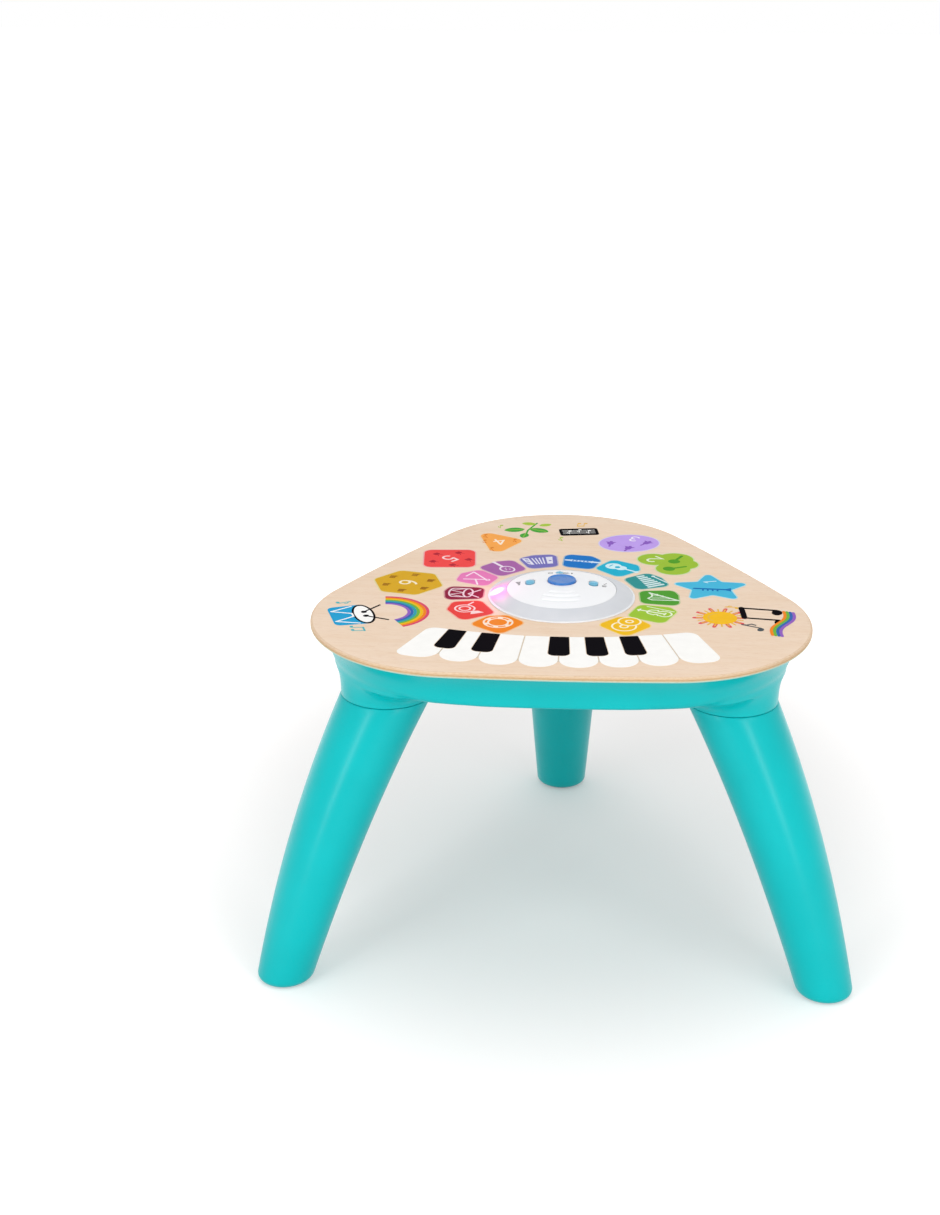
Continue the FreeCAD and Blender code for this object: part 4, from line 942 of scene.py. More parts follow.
def groove(x, y):
    """Depth of the soft grille waves at a place."""
    away = np.hypot(x, y - button_y)
    angle = np.degrees(np.arctan2(x, button_y - y))
    depth = np.zeros_like(away)
    for radius, half_angle in grille:
        over = np.maximum(np.abs(angle) - half_angle, 0) * np.pi / 180 * radius
        near = np.clip(np.hypot(away - radius, over) / groove_half, 0, 1)
        depth = np.maximum(depth, groove_depth * (0.5 + 0.5 * np.cos(np.pi * near)))
    return depth


print("dome's sphere", round(cap_sphere, 2), "mm")

# %% Dome cap
button_hole = 13.3
side_slot = (15.6, 8.8)
rear_slot = (12.6, 6.0)
side_x, side_y, rear_y = 28.6, 7.0, 34.5


def cap_rows():
    """Rings of the cap, from the middle over the rim and back under the skin."""
    rows = []
    for radius in np.linspace(cap_hub, cap_radius - cap_round, 66):
        ring = circle(radius, cap_steps)
        rows.append(at_height(ring, cap_height(*ring.T) - groove(*ring.T)))
    rim_z = cap_height(cap_radius - cap_round, 0.0)
    rim = [(cap_radius - cap_round * (1 - math.sin(tilt)), rim_z - cap_round * (1 - math.cos(tilt)))
           for tilt in np.radians((25, 50, 70, 90))]
    rows += lathe_rows(rim + [(cap_radius, wood_bottom), (cap_radius - cap_wall, wood_bottom)], cap_steps)
    for radius in np.linspace(cap_radius - cap_wall, cap_hub, 12):
        ring = circle(radius, cap_steps)
        rows.append(at_height(ring, cap_height(*ring.T) - cap_wall))
    return rows


def add_slot(bm, length, width, low, high, x, y, along_y, steps=10):
    """Closed slot shape with round ends."""
    half = (length - width) / 2
    ring = []
    for side in (1, -1):
        for turn in np.radians(np.linspace(-90, 90, steps + 1)):
            a, b = side * (half + width / 2 * math.cos(turn)), side * width / 2 * math.sin(turn)
            ring.append((x - b, y + a) if along_y else (x + a, y + b))
    add_solid(bm, [at_height(ring, z) for z in (low, high)])


bm = bmesh.new()
add_solid(bm, cap_rows(), flip=True)
bmesh.ops.recalc_face_normals(bm, faces=bm.faces)
cutters = bmesh.new()
cut_top = wood_top + 20
add_cylinder(cutters, button_hole, wood_top + 5, cut_top, 0.0, button_y, 96)
slots = ((-side_x, side_y, side_slot, True), (side_x, side_y, side_slot, True),
         (0.0, rear_y, rear_slot, False))
for x, y, size, along_y in slots:
    add_slot(cutters, *size, wood_top + 2, cut_top, x, y, along_y)
cap_bm = cut_with(bm, cutters)
make_piece("dome_skin", cap_bm, [abs_white], replaces=["dome_cap"], sharp=50)

# %% [markdown]
# ## Push button and slide controls
# The button is a separate blue moulding with a rolled rim and a shallow dish, and a swirl is
# engraved in the dish. The slide controls are satin light blue with a grip across.

# %% Push button
button_low, button_top = [corner.z for corner in node_box("play_button")]
button_radius = 12.8
button_steps = 160
dish_radius = 9.6
dish_depth = 0.9
dish_rise = 0.12
flange_radius = 14.2
flange_height = 1.2
skirt_bore = 10.6
plunger_radius = 2.2
button_ceiling = button_top - 4.4
swirl_arms = 3
swirl_twist = 0.55
swirl_depth = 0.22


def swirl(x, y):
    """Depth of a swirl engraved in the dish."""
    away = np.hypot(x, y)
    crest = np.cos(swirl_arms * np.arctan2(y, x) - away * swirl_twist)
    band = np.clip((away - 1.5) / 1.5, 0, 1) * np.clip((8.4 - away) / 1.2, 0, 1)
    return swirl_depth * band * np.clip((crest - 0.55) / 0.3, 0, 1)


rows = []
for radius in np.linspace(0.2, dish_radius, 40):
    ring = circle(radius, button_steps)
    level = button_top - dish_depth + dish_rise * (radius / dish_radius) ** 2 - swirl(*ring.T)
    rows.append(at_height(ring + (0.0, button_y), level))
rolled_rim = ((10.0, 0.62), (10.4, 0.3), (10.8, 0.1), (11.3, 0.0), (11.8, 0.03), (12.3, 0.2), (12.65, 0.5),
              (button_radius, 0.95))
profile = [(radius, button_top - drop) for radius, drop in rolled_rim]
profile += [(button_radius, button_low + flange_height), (flange_radius, button_low + flange_height),
            (flange_radius, button_low), (skirt_bore, button_low), (skirt_bore, button_ceiling),
            (plunger_radius, button_ceiling), (plunger_radius, button_low)]
rows += lathe_rows(profile, button_steps, 0.0, button_y)
bm = bmesh.new()
add_solid(bm, rows, flip=True)
bmesh.ops.recalc_face_normals(bm, faces=bm.faces)
make_piece("push_button", bm, [abs_blue], body="play_button", replaces=["play_button"],
           sharp=50)

# %% Slide controls
side_knob = (11.0, 8.2)
rear_knob = (7.0, 5.4)
knob_rise = 1.3
knob_depth = 4.2
knob_ease = 0.3
grip_rise = 0.9
rib_drop = 0.45
rib_thickness = 0.8
grip_round = 0.35
power_travel = 5.0


def slider_bmesh(x, y, length, width, along_y):
    """Rounded plate that follows the dome, with a grip and two small ribs across."""
    top = float(cap_height(np.array(x), np.array(y))) + knob_rise
    base = top - grip_rise
    bm = bmesh.new()
    for inset, low, high in ((0.0, base - knob_depth, base - knob_ease), (knob_ease, base - 0.35, base)):
        add_slot(bm, length - 2 * inset, width - 2 * inset, low, high, x, y, along_y, 12)
    grips = [(0.0, 0.3 * length, 0.36 * width, top)]
    grips += [(side * 0.3 * length, rib_thickness, 0.3 * width, top - rib_drop) for side in (-1, 1)]
    for shift, thick, half_wide, height in grips:
        low, high = (shift - thick / 2, -half_wide), (shift + thick / 2, half_wide)
        if along_y:
            low, high = low[::-1], high[::-1]
        block = bmesh.new()
        add_block(block, (x + low[0], y + low[1], base - 0.2), (x + high[0], y + high[1], height))
        edges = [e for e in block.edges if min(v.co.z for v in e.verts) > (height - 0.01) / 1000]
        bmesh.ops.bevel(block, geom=edges, offset=grip_round / 1000, segments=3, affect="EDGES", profile=0.5)
        join_into(bm, block)
    bmesh.ops.recalc_face_normals(bm, faces=bm.faces)
    return bm


sliders = (("volume", -side_x, side_y, side_knob, True), ("mode", side_x, side_y, side_knob, True),
           ("power", -power_travel / 2, rear_y, rear_knob, False))
for name, x, y, size, along_y in sliders:
    make_piece(name + "_knob", slider_bmesh(x, y, *size, along_y), [abs_light_blue],
               body=name + "_slider", replaces=[name + "_slider"], sharp=50)

# %% [markdown]
# ## Printed inks
# The keys, pads and pictures are screen-printed on the lacquered wood: an opaque satin ink that
# lies a little above the veneer and lets its relief show faintly. Each colour is one material.
# A pad has a paler line round it, so its rim plate is a little wider and lower than its fill.


# %% Ink materials
def ink(name, colour, gloss_index=1.1):
    """Opaque satin ink over wood: even colour, slightly uneven gloss, a trace of grain."""
    material, tree, surface = new_material("ink_" + name, colour, 0.46, IOR=gloss_index)
    cloud = scaled_noise(tree, 11.0, 3.0)
    shade = add(tree, "ShaderNodeMapRange", {"Value": cloud.outputs["Fac"], "To Min": 0.95, "To Max": 1.05})
    tone = add(tree, "ShaderNodeHueSaturation", {"Value": shade.outputs[0], "Color": paint(colour)})
    tree.links.new(tone.outputs[0], surface.inputs["Base Color"])
    grain = scaled_noise(tree, 1.3, 4.0, (6, 1, 1))
    add_gloss(tree, surface, grain.outputs["Fac"], 0.42, 0.52)
    add_bump(tree, surface, grain.outputs["Fac"], 0.008)
    return material


def mixed_code(first, second, share):
    """Hex colour between two others."""
    values = []
    for start in (1, 3, 5):
        a, b = int(first[start:start + 2], 16), int(second[start:start + 2], 16)
        values.append(round(a + (b - a) * share))
    return "#%02X%02X%02X" % tuple(values)


ink_white = ink("white", "#FCFBF8")
ink_black = ink("black", "#121014", 1.015)
ink_grey = ink("grey", "#4B5358")
ink_wood = ink("bare_wood", "#EAD6C0")
ink_gap = ink("key_gap", "#D6C8B5")
print("inks of the keys and marks ready")

# %% [markdown]
# ## Flat drawing kit
# Prints are flat shapes, so a small kit makes them: arcs and lines as lists of points, a stroke
# that gives a line its width and round ends, rounded polygons, and a plate that lifts a shape
# off the wood. A drawing is a list of (ink number, shape), painted one over the other.


# %% Lines and arcs
def arc(x, y, across, along, start, end, steps=18):
    """Points on an ellipse's arc between two angles in degrees."""
    turns = np.radians(np.linspace(start, end, steps + 1))
    return [(x + across * math.cos(t), y + along * math.sin(t)) for t in turns]


def ellipse(x, y, across, along, steps):
    """Points round a whole ellipse."""
    return arc(x, y, across, along, 0, 360, steps)[:-1]


def disc(x, y, radius, steps=28):
    """Points round a disc."""
    return ellipse(x, y, radius, radius, steps)


def placed(shape, x, y, size, turn):
    """Shape from its own unit square to the table, turned by degrees."""
    c, s = math.cos(math.radians(turn)) * size, math.sin(math.radians(turn)) * size
    return [(x + a * c - b * s, y + a * s + b * c) for a, b in shape]


def bar(x, y, width, height, turn=0.0):
    """Rectangle about a middle, turned by degrees."""
    across, along = width / 2, height / 2
    return placed([(-across, -along), (across, -along), (across, along), (-across, along)], x, y, 1.0, turn)


def stroke(path, width):
    """Outline of a line with a width and round ends."""
    path = np.array(path, float)
    steps = np.diff(path, axis=0)
    steps /= np.linalg.norm(steps, axis=1)[:, None]
    along = np.vstack([steps[:1], steps[:-1] + steps[1:], steps[-1:]])
    along /= np.linalg.norm(along, axis=1)[:, None]
    square = np.append((along[:-1] * steps).sum(1), 1.0)[:, None]
    side = np.column_stack([-along[:, 1], along[:, 0]]) * width / 2 / np.maximum(square, 0.5)
    outline = []
    halves = ((path + side, path[-1], along[-1]), ((path - side)[::-1], path[0], -along[0]))
    for points, centre, ahead in halves:
        outline += [tuple(p) for p in points]
        first = math.degrees(math.atan2(ahead[1], ahead[0])) + 90
        outline += arc(centre[0], centre[1], width / 2, width / 2, first - 30, first - 150, 4)
    return outline[::-1]


print("points of a disc", len(disc(0, 0, 1)))


# %% Outlines
def rounded(corners, radii, steps=7):
    """Polygon whose corners are rounded to the given radii."""
    outline = []
    for i, radius in enumerate(radii):
        corner = np.array(corners[i], float)
        before = np.array(corners[i - 1]) - corner
        after = np.array(corners[(i + 1) % len(corners)]) - corner
        before /= np.linalg.norm(before)
        after /= np.linalg.norm(after)
        half = math.acos(np.clip(before @ after, -1, 1)) / 2
        middle = corner + (before + after) / np.linalg.norm(before + after) * radius / math.sin(half)
        start = corner + before * radius / math.tan(half) - middle
        end = corner + after * radius / math.tan(half) - middle
        outline += swept(middle, radius, start, end, np.linspace(0, 1, steps))
    return outline


def signed_area(points):
    """Area inside an outline, below zero where it runs clockwise."""
    x, y = np.array(points).T
    return 0.5 * float((x * np.roll(y, -1) - np.roll(x, -1) * y).sum())


def anticlockwise(outline):
    """Outline in the sense of a face that looks up."""
    return outline[::-1] if signed_area(outline) < 0 else outline


def grown(outline, margin):
    """Outline moved outwards by a margin, without the points that a notch would fold over."""
    points = np.array(anticlockwise(outline), float)
    before = points - np.roll(points, 1, 0)
    after = np.roll(points, -1, 0) - points
    before /= np.linalg.norm(before, axis=1)[:, None]
    after /= np.linalg.norm(after, axis=1)[:, None]
    along = before + after
    along /= np.linalg.norm(along, axis=1)[:, None]
    normal = np.column_stack([along[:, 1], -along[:, 0]])
    straight = np.maximum((along * after).sum(1), 0.6)[:, None]
    moved = points + normal * margin / straight
    return [tuple(p) for p in moved if np.hypot(*(points - p).T).min() > 0.97 * margin]


def upright_at(x, y):
    """Turn of a picture that a child beside the table, facing the dome, sees upright."""
    return math.degrees(math.atan2(y, x)) + 90


print("points of a rounded square", len(rounded(bar(0, 0, 10, 10), [2] * 4)))

# %% Plates
print_low = wood_top - 0.05
print_high = wood_top + 0.1
print_step = 0.004


def add_plate(bm, outline, low, high, material):
    """Closed flat plate between two heights."""
    add_solid(bm, [at_height(anticlockwise(outline), z) for z in (low, high)], material)


def draw(name, drawing, inks, node=None):
    """Piece from a list of (ink number, shape), each a hair above the one before."""
    bm = bmesh.new()
    for i, (number, shape) in enumerate(drawing):
        add_plate(bm, shape, print_low, print_high + print_step * i, number)
    return make_piece(name, bm, inks, replaces=[node] if node else (), sharp=20)


print("drawing kit ready")

# %% [markdown]
# ## Piano keys
# The keyboard is a fan of eight white keys with five black ones. The white keys stand a little
# apart on a thin greyish coat that shows between them, and a line of bare wood runs round each
# black key. One Geometry Nodes tree sets a key along the fan from the key's own outline. The two
# end keys have rounder corners and reach a little further, so each has its own outline.

# %% Fan tree
fan_reach = 277.0
key_inner, key_outer = 375.0, 443.0
key_pitch = 4.54
fan_half = 4 * key_pitch


def fan_tree():
    """Copies of the input, each turned a pitch further about the fan's centre."""
    inputs = {"Key": "Geometry", "First angle": "Float", "Pitch": "Float", "Centre Y": "Float",
              "Count": "Int", "Ink": "Material"}
    tree, source = new_tree("key_fan", inputs, "Keys")
    copies = add(tree, "GeometryNodeDuplicateElements", {0: source["Key"], "Amount": source["Count"]},
                 domain="FACE")
    step = math_node(tree, "MULTIPLY", copies.outputs["Duplicate Index"], source["Pitch"])
    angle = math_node(tree, "ADD", step, source["First angle"])
    centre = add(tree, "ShaderNodeCombineXYZ", {"Y": source["Centre Y"]})
    turned = add(tree, "ShaderNodeVectorRotate", {
        0: position(tree), 1: centre.outputs[0], "Angle": angle},
        rotation_type="Z_AXIS")
    moved = add(tree, "GeometryNodeSetPosition", {0: copies.outputs[0], "Position": turned.outputs[0]})
    hand_out(tree, moved.outputs[0], source["Ink"])
    return tree


key_fan = fan_tree()
print("fan tree nodes", len(key_fan.nodes))


# %% Keys along the fan
def fan_place(radius, angle, shift=0.0):
    """Place on the fan, with a shift across the key."""
    turn = math.radians(angle)
    x = radius * math.sin(turn) + shift * math.cos(turn)
    return (x, fan_reach - radius * math.cos(turn) + shift * math.sin(turn))


def fan_keys(outline, low, high, first, count, material, number):
    """Plate of one key, repeated along the fan."""
    mesh = bpy.data.meshes.new("key")
    points = metres([(x, y, high) for x, y in outline])
    mesh.from_pydata(points.tolist(), [], [tuple(range(len(outline)))])
    bm = run_tree(key_fan, mesh, {
        "First angle": math.radians(first), "Pitch": math.radians(key_pitch),
        "Centre Y": (fan_reach + dome_y) / 1000, "Count": count, "Ink": material})
    bmesh.ops.recalc_face_normals(bm, faces=bm.faces)
    for face in bm.faces:
        if face.normal.z < 0:
            face.normal_flip()
        face.material_index = number
    grown_faces = bmesh.ops.extrude_face_region(bm, geom=list(bm.faces))
    sunk = [v for v in grown_faces["geom"] if isinstance(v, bmesh.types.BMVert)]
    bmesh.ops.translate(bm, verts=sunk, vec=(0, 0, (low - high) / 1000))
    bmesh.ops.recalc_face_normals(bm, faces=bm.faces)
    return bm


print("fan's left end at", [round(v, 1) for v in fan_place(key_inner, -fan_half)])

# %% White keys
white_high = wood_top + 0.16
coat_high = wood_top + 0.08
coat_margin = 2.5
half_gap = 0.6
key_round = 15.5


def white_key(left, right, radii, inner_shift=0.0, outer_shift=0.0, right_shift=0.0):
    """Outline of a white key between two angles, with its corners shifted along the fan."""
    corners = [fan_place(key_inner, left, half_gap + inner_shift),
               fan_place(key_outer, left, half_gap + outer_shift),
               fan_place(key_outer, right, right_shift - half_gap), fan_place(key_inner, right, -half_gap)]
    return rounded(corners, radii, 12)


bm = bmesh.new()
coat_turns = np.linspace(coat_margin - fan_half, fan_half - coat_margin, 40)
coat = [fan_place(key_inner + 2, turn) for turn in coat_turns]
coat += [fan_place(key_outer - 12, turn) for turn in coat_turns[::-1]]
add_plate(bm, coat, print_low, coat_high, 1)
first_key = white_key(-fan_half, key_pitch - fan_half, (10.0, 9.0, key_round, 1.0), 3.0, -2.5)
last_key = white_key(fan_half - key_pitch, fan_half, (1.0, key_round, 11.0, 10.0), right_shift=1.0)
middle_key = white_key(-key_pitch / 2, key_pitch / 2, (1.0, key_round, key_round, 1.0))
for outline in (first_key, last_key):
    add_plate(bm, outline, print_low, white_high, 0)
join_into(bm, fan_keys(middle_key, print_low, white_high, -2.5 * key_pitch, 6, ink_white, 0))
make_piece("keyboard_white", bm, [ink_white, ink_gap], replaces=["white_keys"], sharp=20)

# %% Black keys
black_inner_width = 16.3
black_outer_width = 18.7
black_length = 42.6
black_round = 6.0
bare_margin = 0.6
bare_high = white_high + 0.01
black_high = white_high + 0.04
black_groups = ((-3 * key_pitch, 2), (0.0, 3))


def black_outline(margin):
    """Outline of the black key that lies on the fan's middle line."""
    start, outer = key_inner - 0.2, key_inner + black_length + margin
    top, bottom = black_inner_width / 2 + margin, black_outer_width / 2 + margin
    corners = [fan_place(start, 0, -top), fan_place(outer, 0, -bottom), fan_place(outer, 0, bottom),
               fan_place(start, 0, top)]
    return rounded(corners, [1.0, black_round + margin, black_round + margin, 1.0], 10)


layers = ((bare_margin, bare_high, ink_wood, 1), (0.0, black_high, ink_black, 0))
bm = bmesh.new()
for first, count in black_groups:
    for margin, high, coat_ink, number in layers:
        outline = black_outline(margin)
        join_into(bm, fan_keys(outline, print_low, high, first, count, coat_ink, number))
make_piece("keyboard_black", bm, [ink_black, ink_wood], replaces=["black_keys"], sharp=20)

# %% [markdown]
# ## Pictures of instruments
# Each pad carries a pale line picture of an instrument. The pictures are drawn here in a unit
# square, with common shapes only, and are turned so that a child who stands outside the pad and
# faces the dome sees them upright.


# %% Pictures of plates and strings
def hoop(x, y, across, along, w, steps=18):
    """Closed ring of a stroke, in two halves."""
    return [(0, stroke(arc(x, y, across, along, start, start + 180, steps // 2), w)) for start in (0, 180)]


def cymbals(w):
    """Two plates, one over the other."""
    left = [*hoop(-0.3, -0.12, 0.6, 0.6, w, 30), *hoop(-0.3, -0.12, 0.2, 0.2, w)]
    right = [(1, disc(0.36, 0.2, 0.62)), *hoop(0.36, 0.2, 0.56, 0.56, w, 30),
             *hoop(0.36, 0.2, 0.18, 0.18, w)]
    return left + right


def violin(w):
    """Waisted body, neck, bridge and a bow beside it."""
    body = arc(0, -0.5, 0.36, 0.34, 150, 390) + arc(0.36, -0.12, 0.14, 0.12, 260, 100, 8)
    body += arc(0, 0.18, 0.29, 0.26, 20, 160) + arc(-0.36, -0.12, 0.14, 0.12, 80, -80, 8)
    made = [(0, stroke(body, w)), (0, stroke([(0, -0.45), (0, 0.95)], w * 1.3))]
    made += [(0, stroke([(-0.12, -0.5), (0.12, -0.5)], w)), (0, stroke([(-0.14, 0.88), (0.14, 0.88)], w))]
    return made + [(0, stroke([(0.5, -0.8), (0.62, 0.7)], w * 0.8))]


def harp(w):
    """Curved neck, slanted sound box and four strings."""
    neck = [(-0.5, -0.8), (-0.42, 0.55), (-0.2, 0.75), (0.05, 0.55), (0.3, 0.5), (0.6, 0.62)]
    ends = [((-0.25 + 0.22 * i, 0.55 - 0.02 * i), (-0.25 + 0.22 * i, -0.55 + 0.25 * i)) for i in range(4)]
    strings = [(0, stroke(pair, w * 0.6)) for pair in ends]
    return [(0, stroke(neck, w)), (0, stroke([(0.6, 0.62), (-0.5, -0.8)], w * 1.4))] + strings


def bars(w):
    """Seven sounding bars and a mallet."""
    made = [(0, bar(-0.78 + 0.26 * i, 0.0, 0.17, 1.0 - 0.09 * i)) for i in range(7)]
    return made + [(0, stroke([(-0.6, -0.75), (0.45, -0.6)], w)), (0, disc(0.5, -0.6, 0.1, 12))]


def guitar(w):
    """Lying guitar with a sound hole and a bridge; it is all filled, so w isn't needed."""
    made = [(0, disc(0.5, 0, 0.44)), (0, disc(0.02, 0, 0.32)), (1, disc(0.24, 0, 0.15, 16))]
    made += [(0, stroke([(-0.1, 0), (-1.0, 0)], 0.13)), (0, bar(-1.0, 0, 0.18, 0.26))]
    return made + [(1, bar(0.66, 0, 0.07, 0.34))]


print("drawings of plates and strings ready")


# %% Pictures of winds
def flute(w):
    """Lying tube with five holes; it is all filled, so w isn't needed."""
    made = [(0, stroke([(-0.92, 0.0), (0.92, 0.0)], 0.2))]
    made += [(0, bar(-0.5, 0, 0.1, 0.3)), (0, bar(0.62, 0, 0.08, 0.28))]
    return made + [(1, disc(-0.25 + 0.2 * i, 0.0, 0.06, 10)) for i in range(5)]


def accordion(w):
    """Two end boxes with folds between them."""
    folds = [(0, stroke([(x, -0.42), (x * 0.7, 0.5)], w * 0.8)) for x in (-0.3, -0.1, 0.1, 0.3)]
    left = [(-0.85, -0.5), (-0.48, -0.5), (-0.36, 0.55), (-0.66, 0.55)]
    keys = [(1, bar(0.62, -0.32 + 0.26 * i, 0.18, 0.1, -5)) for i in range(4)]
    boxes = [(0, left), (0, [(-x, y) for x, y in left[::-1]])]
    return folds + boxes + keys + [(1, disc(-0.6, 0.1, 0.08, 12))]


def horn(w):
    """Coiled tube with a bell."""
    coil = arc(-0.1, -0.1, 0.5, 0.5, 40, 380, 30)
    bell = [(0.34, 0.1), (0.42, 0.42), (0.75, 0.62), (0.75, -0.1), (0.5, 0.0)]
    return [(0, stroke(coil, w)), *hoop(-0.1, -0.1, 0.28, 0.28, w, 24), (0, bell),
            (0, stroke([(-0.5, 0.2), (-0.8, 0.62)], w))]


print("drawings of winds ready")


# %% Pictures of drums and shakers
def maraca(w):
    """Round rattle on a handle, with three beads."""
    beads = [(0, disc(0.13 * math.cos(t), 0.4 + 0.16 * math.sin(t), 0.05, 10)) for t in (0.5, 2.6, 4.7)]
    return [*hoop(0, 0.4, 0.36, 0.44, w, 30), (0, stroke([(0, -0.05), (0, -0.85)], w * 1.8)),
            (0, disc(0, -0.86, 0.11, 14))] + beads


def triangle(w):
    """Bent rod, its loop and a beater."""
    sides = [(0.12, -0.55), (-0.62, -0.55), (0.0, 0.6), (0.56, -0.42)]
    return [(0, stroke(sides[:2], w)), (0, stroke(sides[1:3], w)), (0, stroke(sides[2:], w)),
            (0, stroke([(0.25, 0.1), (0.85, 0.62)], w)), *hoop(0, 0.72, 0.1, 0.1, w * 0.7, 12)]


def drum(w):
    """Standing drum with lacing and two sticks."""
    made = [*hoop(0, 0.35, 0.6, 0.24, w, 30), (0, stroke(arc(0, -0.4, 0.6, 0.24, 180, 360), w)),
            (0, stroke([(-0.6, 0.35), (-0.6, -0.4)], w)), (0, stroke([(0.6, 0.35), (0.6, -0.4)], w))]
    zigzag = [(-0.6, 0.2), (-0.3, -0.55), (0.0, 0.12), (0.3, -0.55), (0.6, 0.2)]
    made += [(0, stroke(pair, w * 0.7)) for pair in zip(zigzag, zigzag[1:])]
    return made + [(0, stroke([(-0.5, 0.95), (0.1, 0.4)], w)), (0, stroke([(0.6, 0.95), (0.15, 0.38)], w))]


def tambourine(w):
    """Round frame with six jingles."""
    made = [*hoop(0, 0, 0.72, 0.72, w, 36), *hoop(0, 0, 0.5, 0.5, w, 30)]
    return made + [(0, disc(*around(0.61, angle), 0.13, 14)) for angle in range(0, 360, 60)]


print("drawings of drums and shakers ready")

# %% Pads round the dome
pads = {
    "yellow": ("#F0BC1A", cymbals, ((52, -47), (68, -52), (80.5, -67.5), (57, -94), (32.5, -67.5))),
    "lime": ("#9CC435", violin, ((70, -16.5), (97, -22), (103, -32), (90, -62), (58.5, -46))),
    "green": ("#4B9A2C", harp, ((70.5, 18), (101.5, 21), (105.5, 9), (105.5, -17.5), (71.5, -12.5))),
    "teal": ("#2A9090", bars, ((79.5, 66), (91.5, 53.5), (98.5, 33), (69, 21.5), (56.5, 49))),
    "cyan": ("#18B0D0", guitar, ((47, 101), (70.5, 86.5), (72, 73), (52, 53), (30, 76))),
    "blue": ("#0B72C4", flute, ((2, 113.5), (27, 109), (35.5, 98), (27.5, 73), (0, 80))),
    "orange": ("#F0861A", tambourine,
               ((-47, -49.5), (-30.5, -66.5), (-51, -94.5), (-79, -72.5), (-64, -52.5))),
    "red": ("#E8433F", horn, ((-72, -14.5), (-58, -45), (-86, -64.5), (-101, -38), (-97, -19))),
    "maroon": ("#8A1238", drum, ((-70.5, 18), (-71, -9.5), (-104, -14), (-106, 8), (-101.5, 20))),
    "pink": ("#E67DB8", triangle, ((-58.5, 47), (-69, 22), (-98, 35), (-94, 55), (-77, 66))),
    "purple": ("#A763A6", maraca, ((-33.5, 69.5), (-57, 48.5), (-79, 72), (-63, 89), (-47.5, 94))),
    "violet": ("#7470B8", accordion, ((-4.5, 79.5), (-31, 71), (-42, 98.5), (-29, 108.5), (-7, 112.5))),
}
pad_round = 7.0
rim_width = 1.2
picture_size = 17.5
picture_line = 0.095
for name, (colour, picture, corners) in pads.items():
    outline = rounded(corners, [pad_round] * 5)
    x, y = np.mean(outline, axis=0)
    upright = upright_at(x, y)
    inks = [ink(name, colour), ink(name + "_rim", mixed_code(colour, "#F4E6D2", 0.62)),
            ink(name + "_picture", mixed_code(colour, "#FFFFFF", 0.8))]
    drawing = [(1, grown(outline, rim_width)), (0, outline)]
    for tone, shape in picture(picture_line):
        drawing.append((2 if tone == 0 else 0, placed(shape, x, y, picture_size, upright)))
    draw("print_" + name, drawing, inks, "pad_" + name)

# %% [markdown]
# ## Number pads
# Six bigger shapes count from one to six. Each shows its digit in a pale tint and as many small
# pictures in a darker one. Digits are strokes, so they need no lettering.

# %% Digits
digit_line = 0.14


def digit(number):
    """Strokes of a plain digit in a box one high."""
    lines = {
        1: [[(-0.18, 0.28), (0.06, 0.5), (0.06, -0.5)]],
        2: [arc(0, 0.22, 0.27, 0.27, 165, -35, 12) + [(-0.28, -0.48), (0.32, -0.48)]],
        3: [arc(-0.02, 0.25, 0.24, 0.24, 150, -90, 12), arc(-0.02, -0.22, 0.28, 0.26, 90, -150, 12)],
        4: [[(0.14, -0.5), (0.14, 0.5)], [(0.14, 0.5), (-0.32, -0.18), (0.34, -0.18)]],
        5: [[(0.26, 0.48), (-0.2, 0.48), (-0.24, 0.08)], arc(-0.02, -0.16, 0.28, 0.3, 130, -150, 14)],
        6: [arc(0.0, -0.2, 0.28, 0.28, 0, 180, 10), arc(0.0, -0.2, 0.28, 0.28, 180, 360, 10),
            arc(0.26, -0.1, 0.54, 0.62, 180, 105, 8)],
    }
    return [stroke(line, digit_line) for line in lines[number]]


print("digits ready")


# %% Small pictures
def bell_shape():
    """Hand bell: flared body, handle and clapper."""
    body = [(-0.5, -0.35), (-0.3, -0.1), (-0.24, 0.3), (0.0, 0.45), (0.24, 0.3), (0.3, -0.1), (0.5, -0.35)]
    return [body, disc(0, -0.45, 0.14, 12), stroke([(0, 0.4), (0, 0.85)], 0.18)]


def note_shape():
    """Single quaver."""
    flag = [(0.12, 0.8), (0.2, 0.5), (0.48, 0.3), (0.42, 0.0)]
    return [ellipse(-0.12, -0.55, 0.26, 0.2, 18), stroke([(0.12, -0.5), (0.12, 0.8)], 0.1),
            stroke(flag, 0.1)]


def shaker_shape():
    """Round rattle on a handle."""
    return [disc(0, 0.35, 0.38), stroke([(0, 0.1), (0, -0.8)], 0.2)]


def drum_shape():
    """Drum with two sticks."""
    sticks = [stroke([(side * 0.4, 0.85), (side * 0.1, 0.35)], 0.1) for side in (-1, 1)]
    return [bar(0, -0.05, 0.9, 0.62), ellipse(0, 0.26, 0.45, 0.16, 18), *sticks]


def clarinet_shape():
    """Lying tube with a bell and four keys."""
    made = [stroke([(-0.95, 0.0), (0.8, 0.0)], 0.2), [(0.7, -0.1), (1.0, -0.26), (1.0, 0.26), (0.7, 0.1)]]
    return made + [bar(-0.5 + 0.26 * i, -0.16, 0.1, 0.28) for i in range(4)]


def pipes_shape():
    """Five pipes of falling length, held by a band."""
    pipes = [bar(-0.42 + 0.21 * i, 0.1 - 0.06 * i, 0.15, 1.1 - 0.12 * i) for i in range(5)]
    return pipes + [bar(0, 0.3, 1.1, 0.12)]


print("small pictures ready")


# %% Shapes of the number pads
def star_outline(x, y, outer, inner, turn, radius):
    """Five-pointed star with rounded corners."""
    corners = []
    for i in range(10):
        reach = outer if i % 2 == 0 else inner
        corners.append(tuple(np.array([x, y]) + around(reach, turn + 36 * i)))
    return rounded(corners, [radius] * 10, 6)


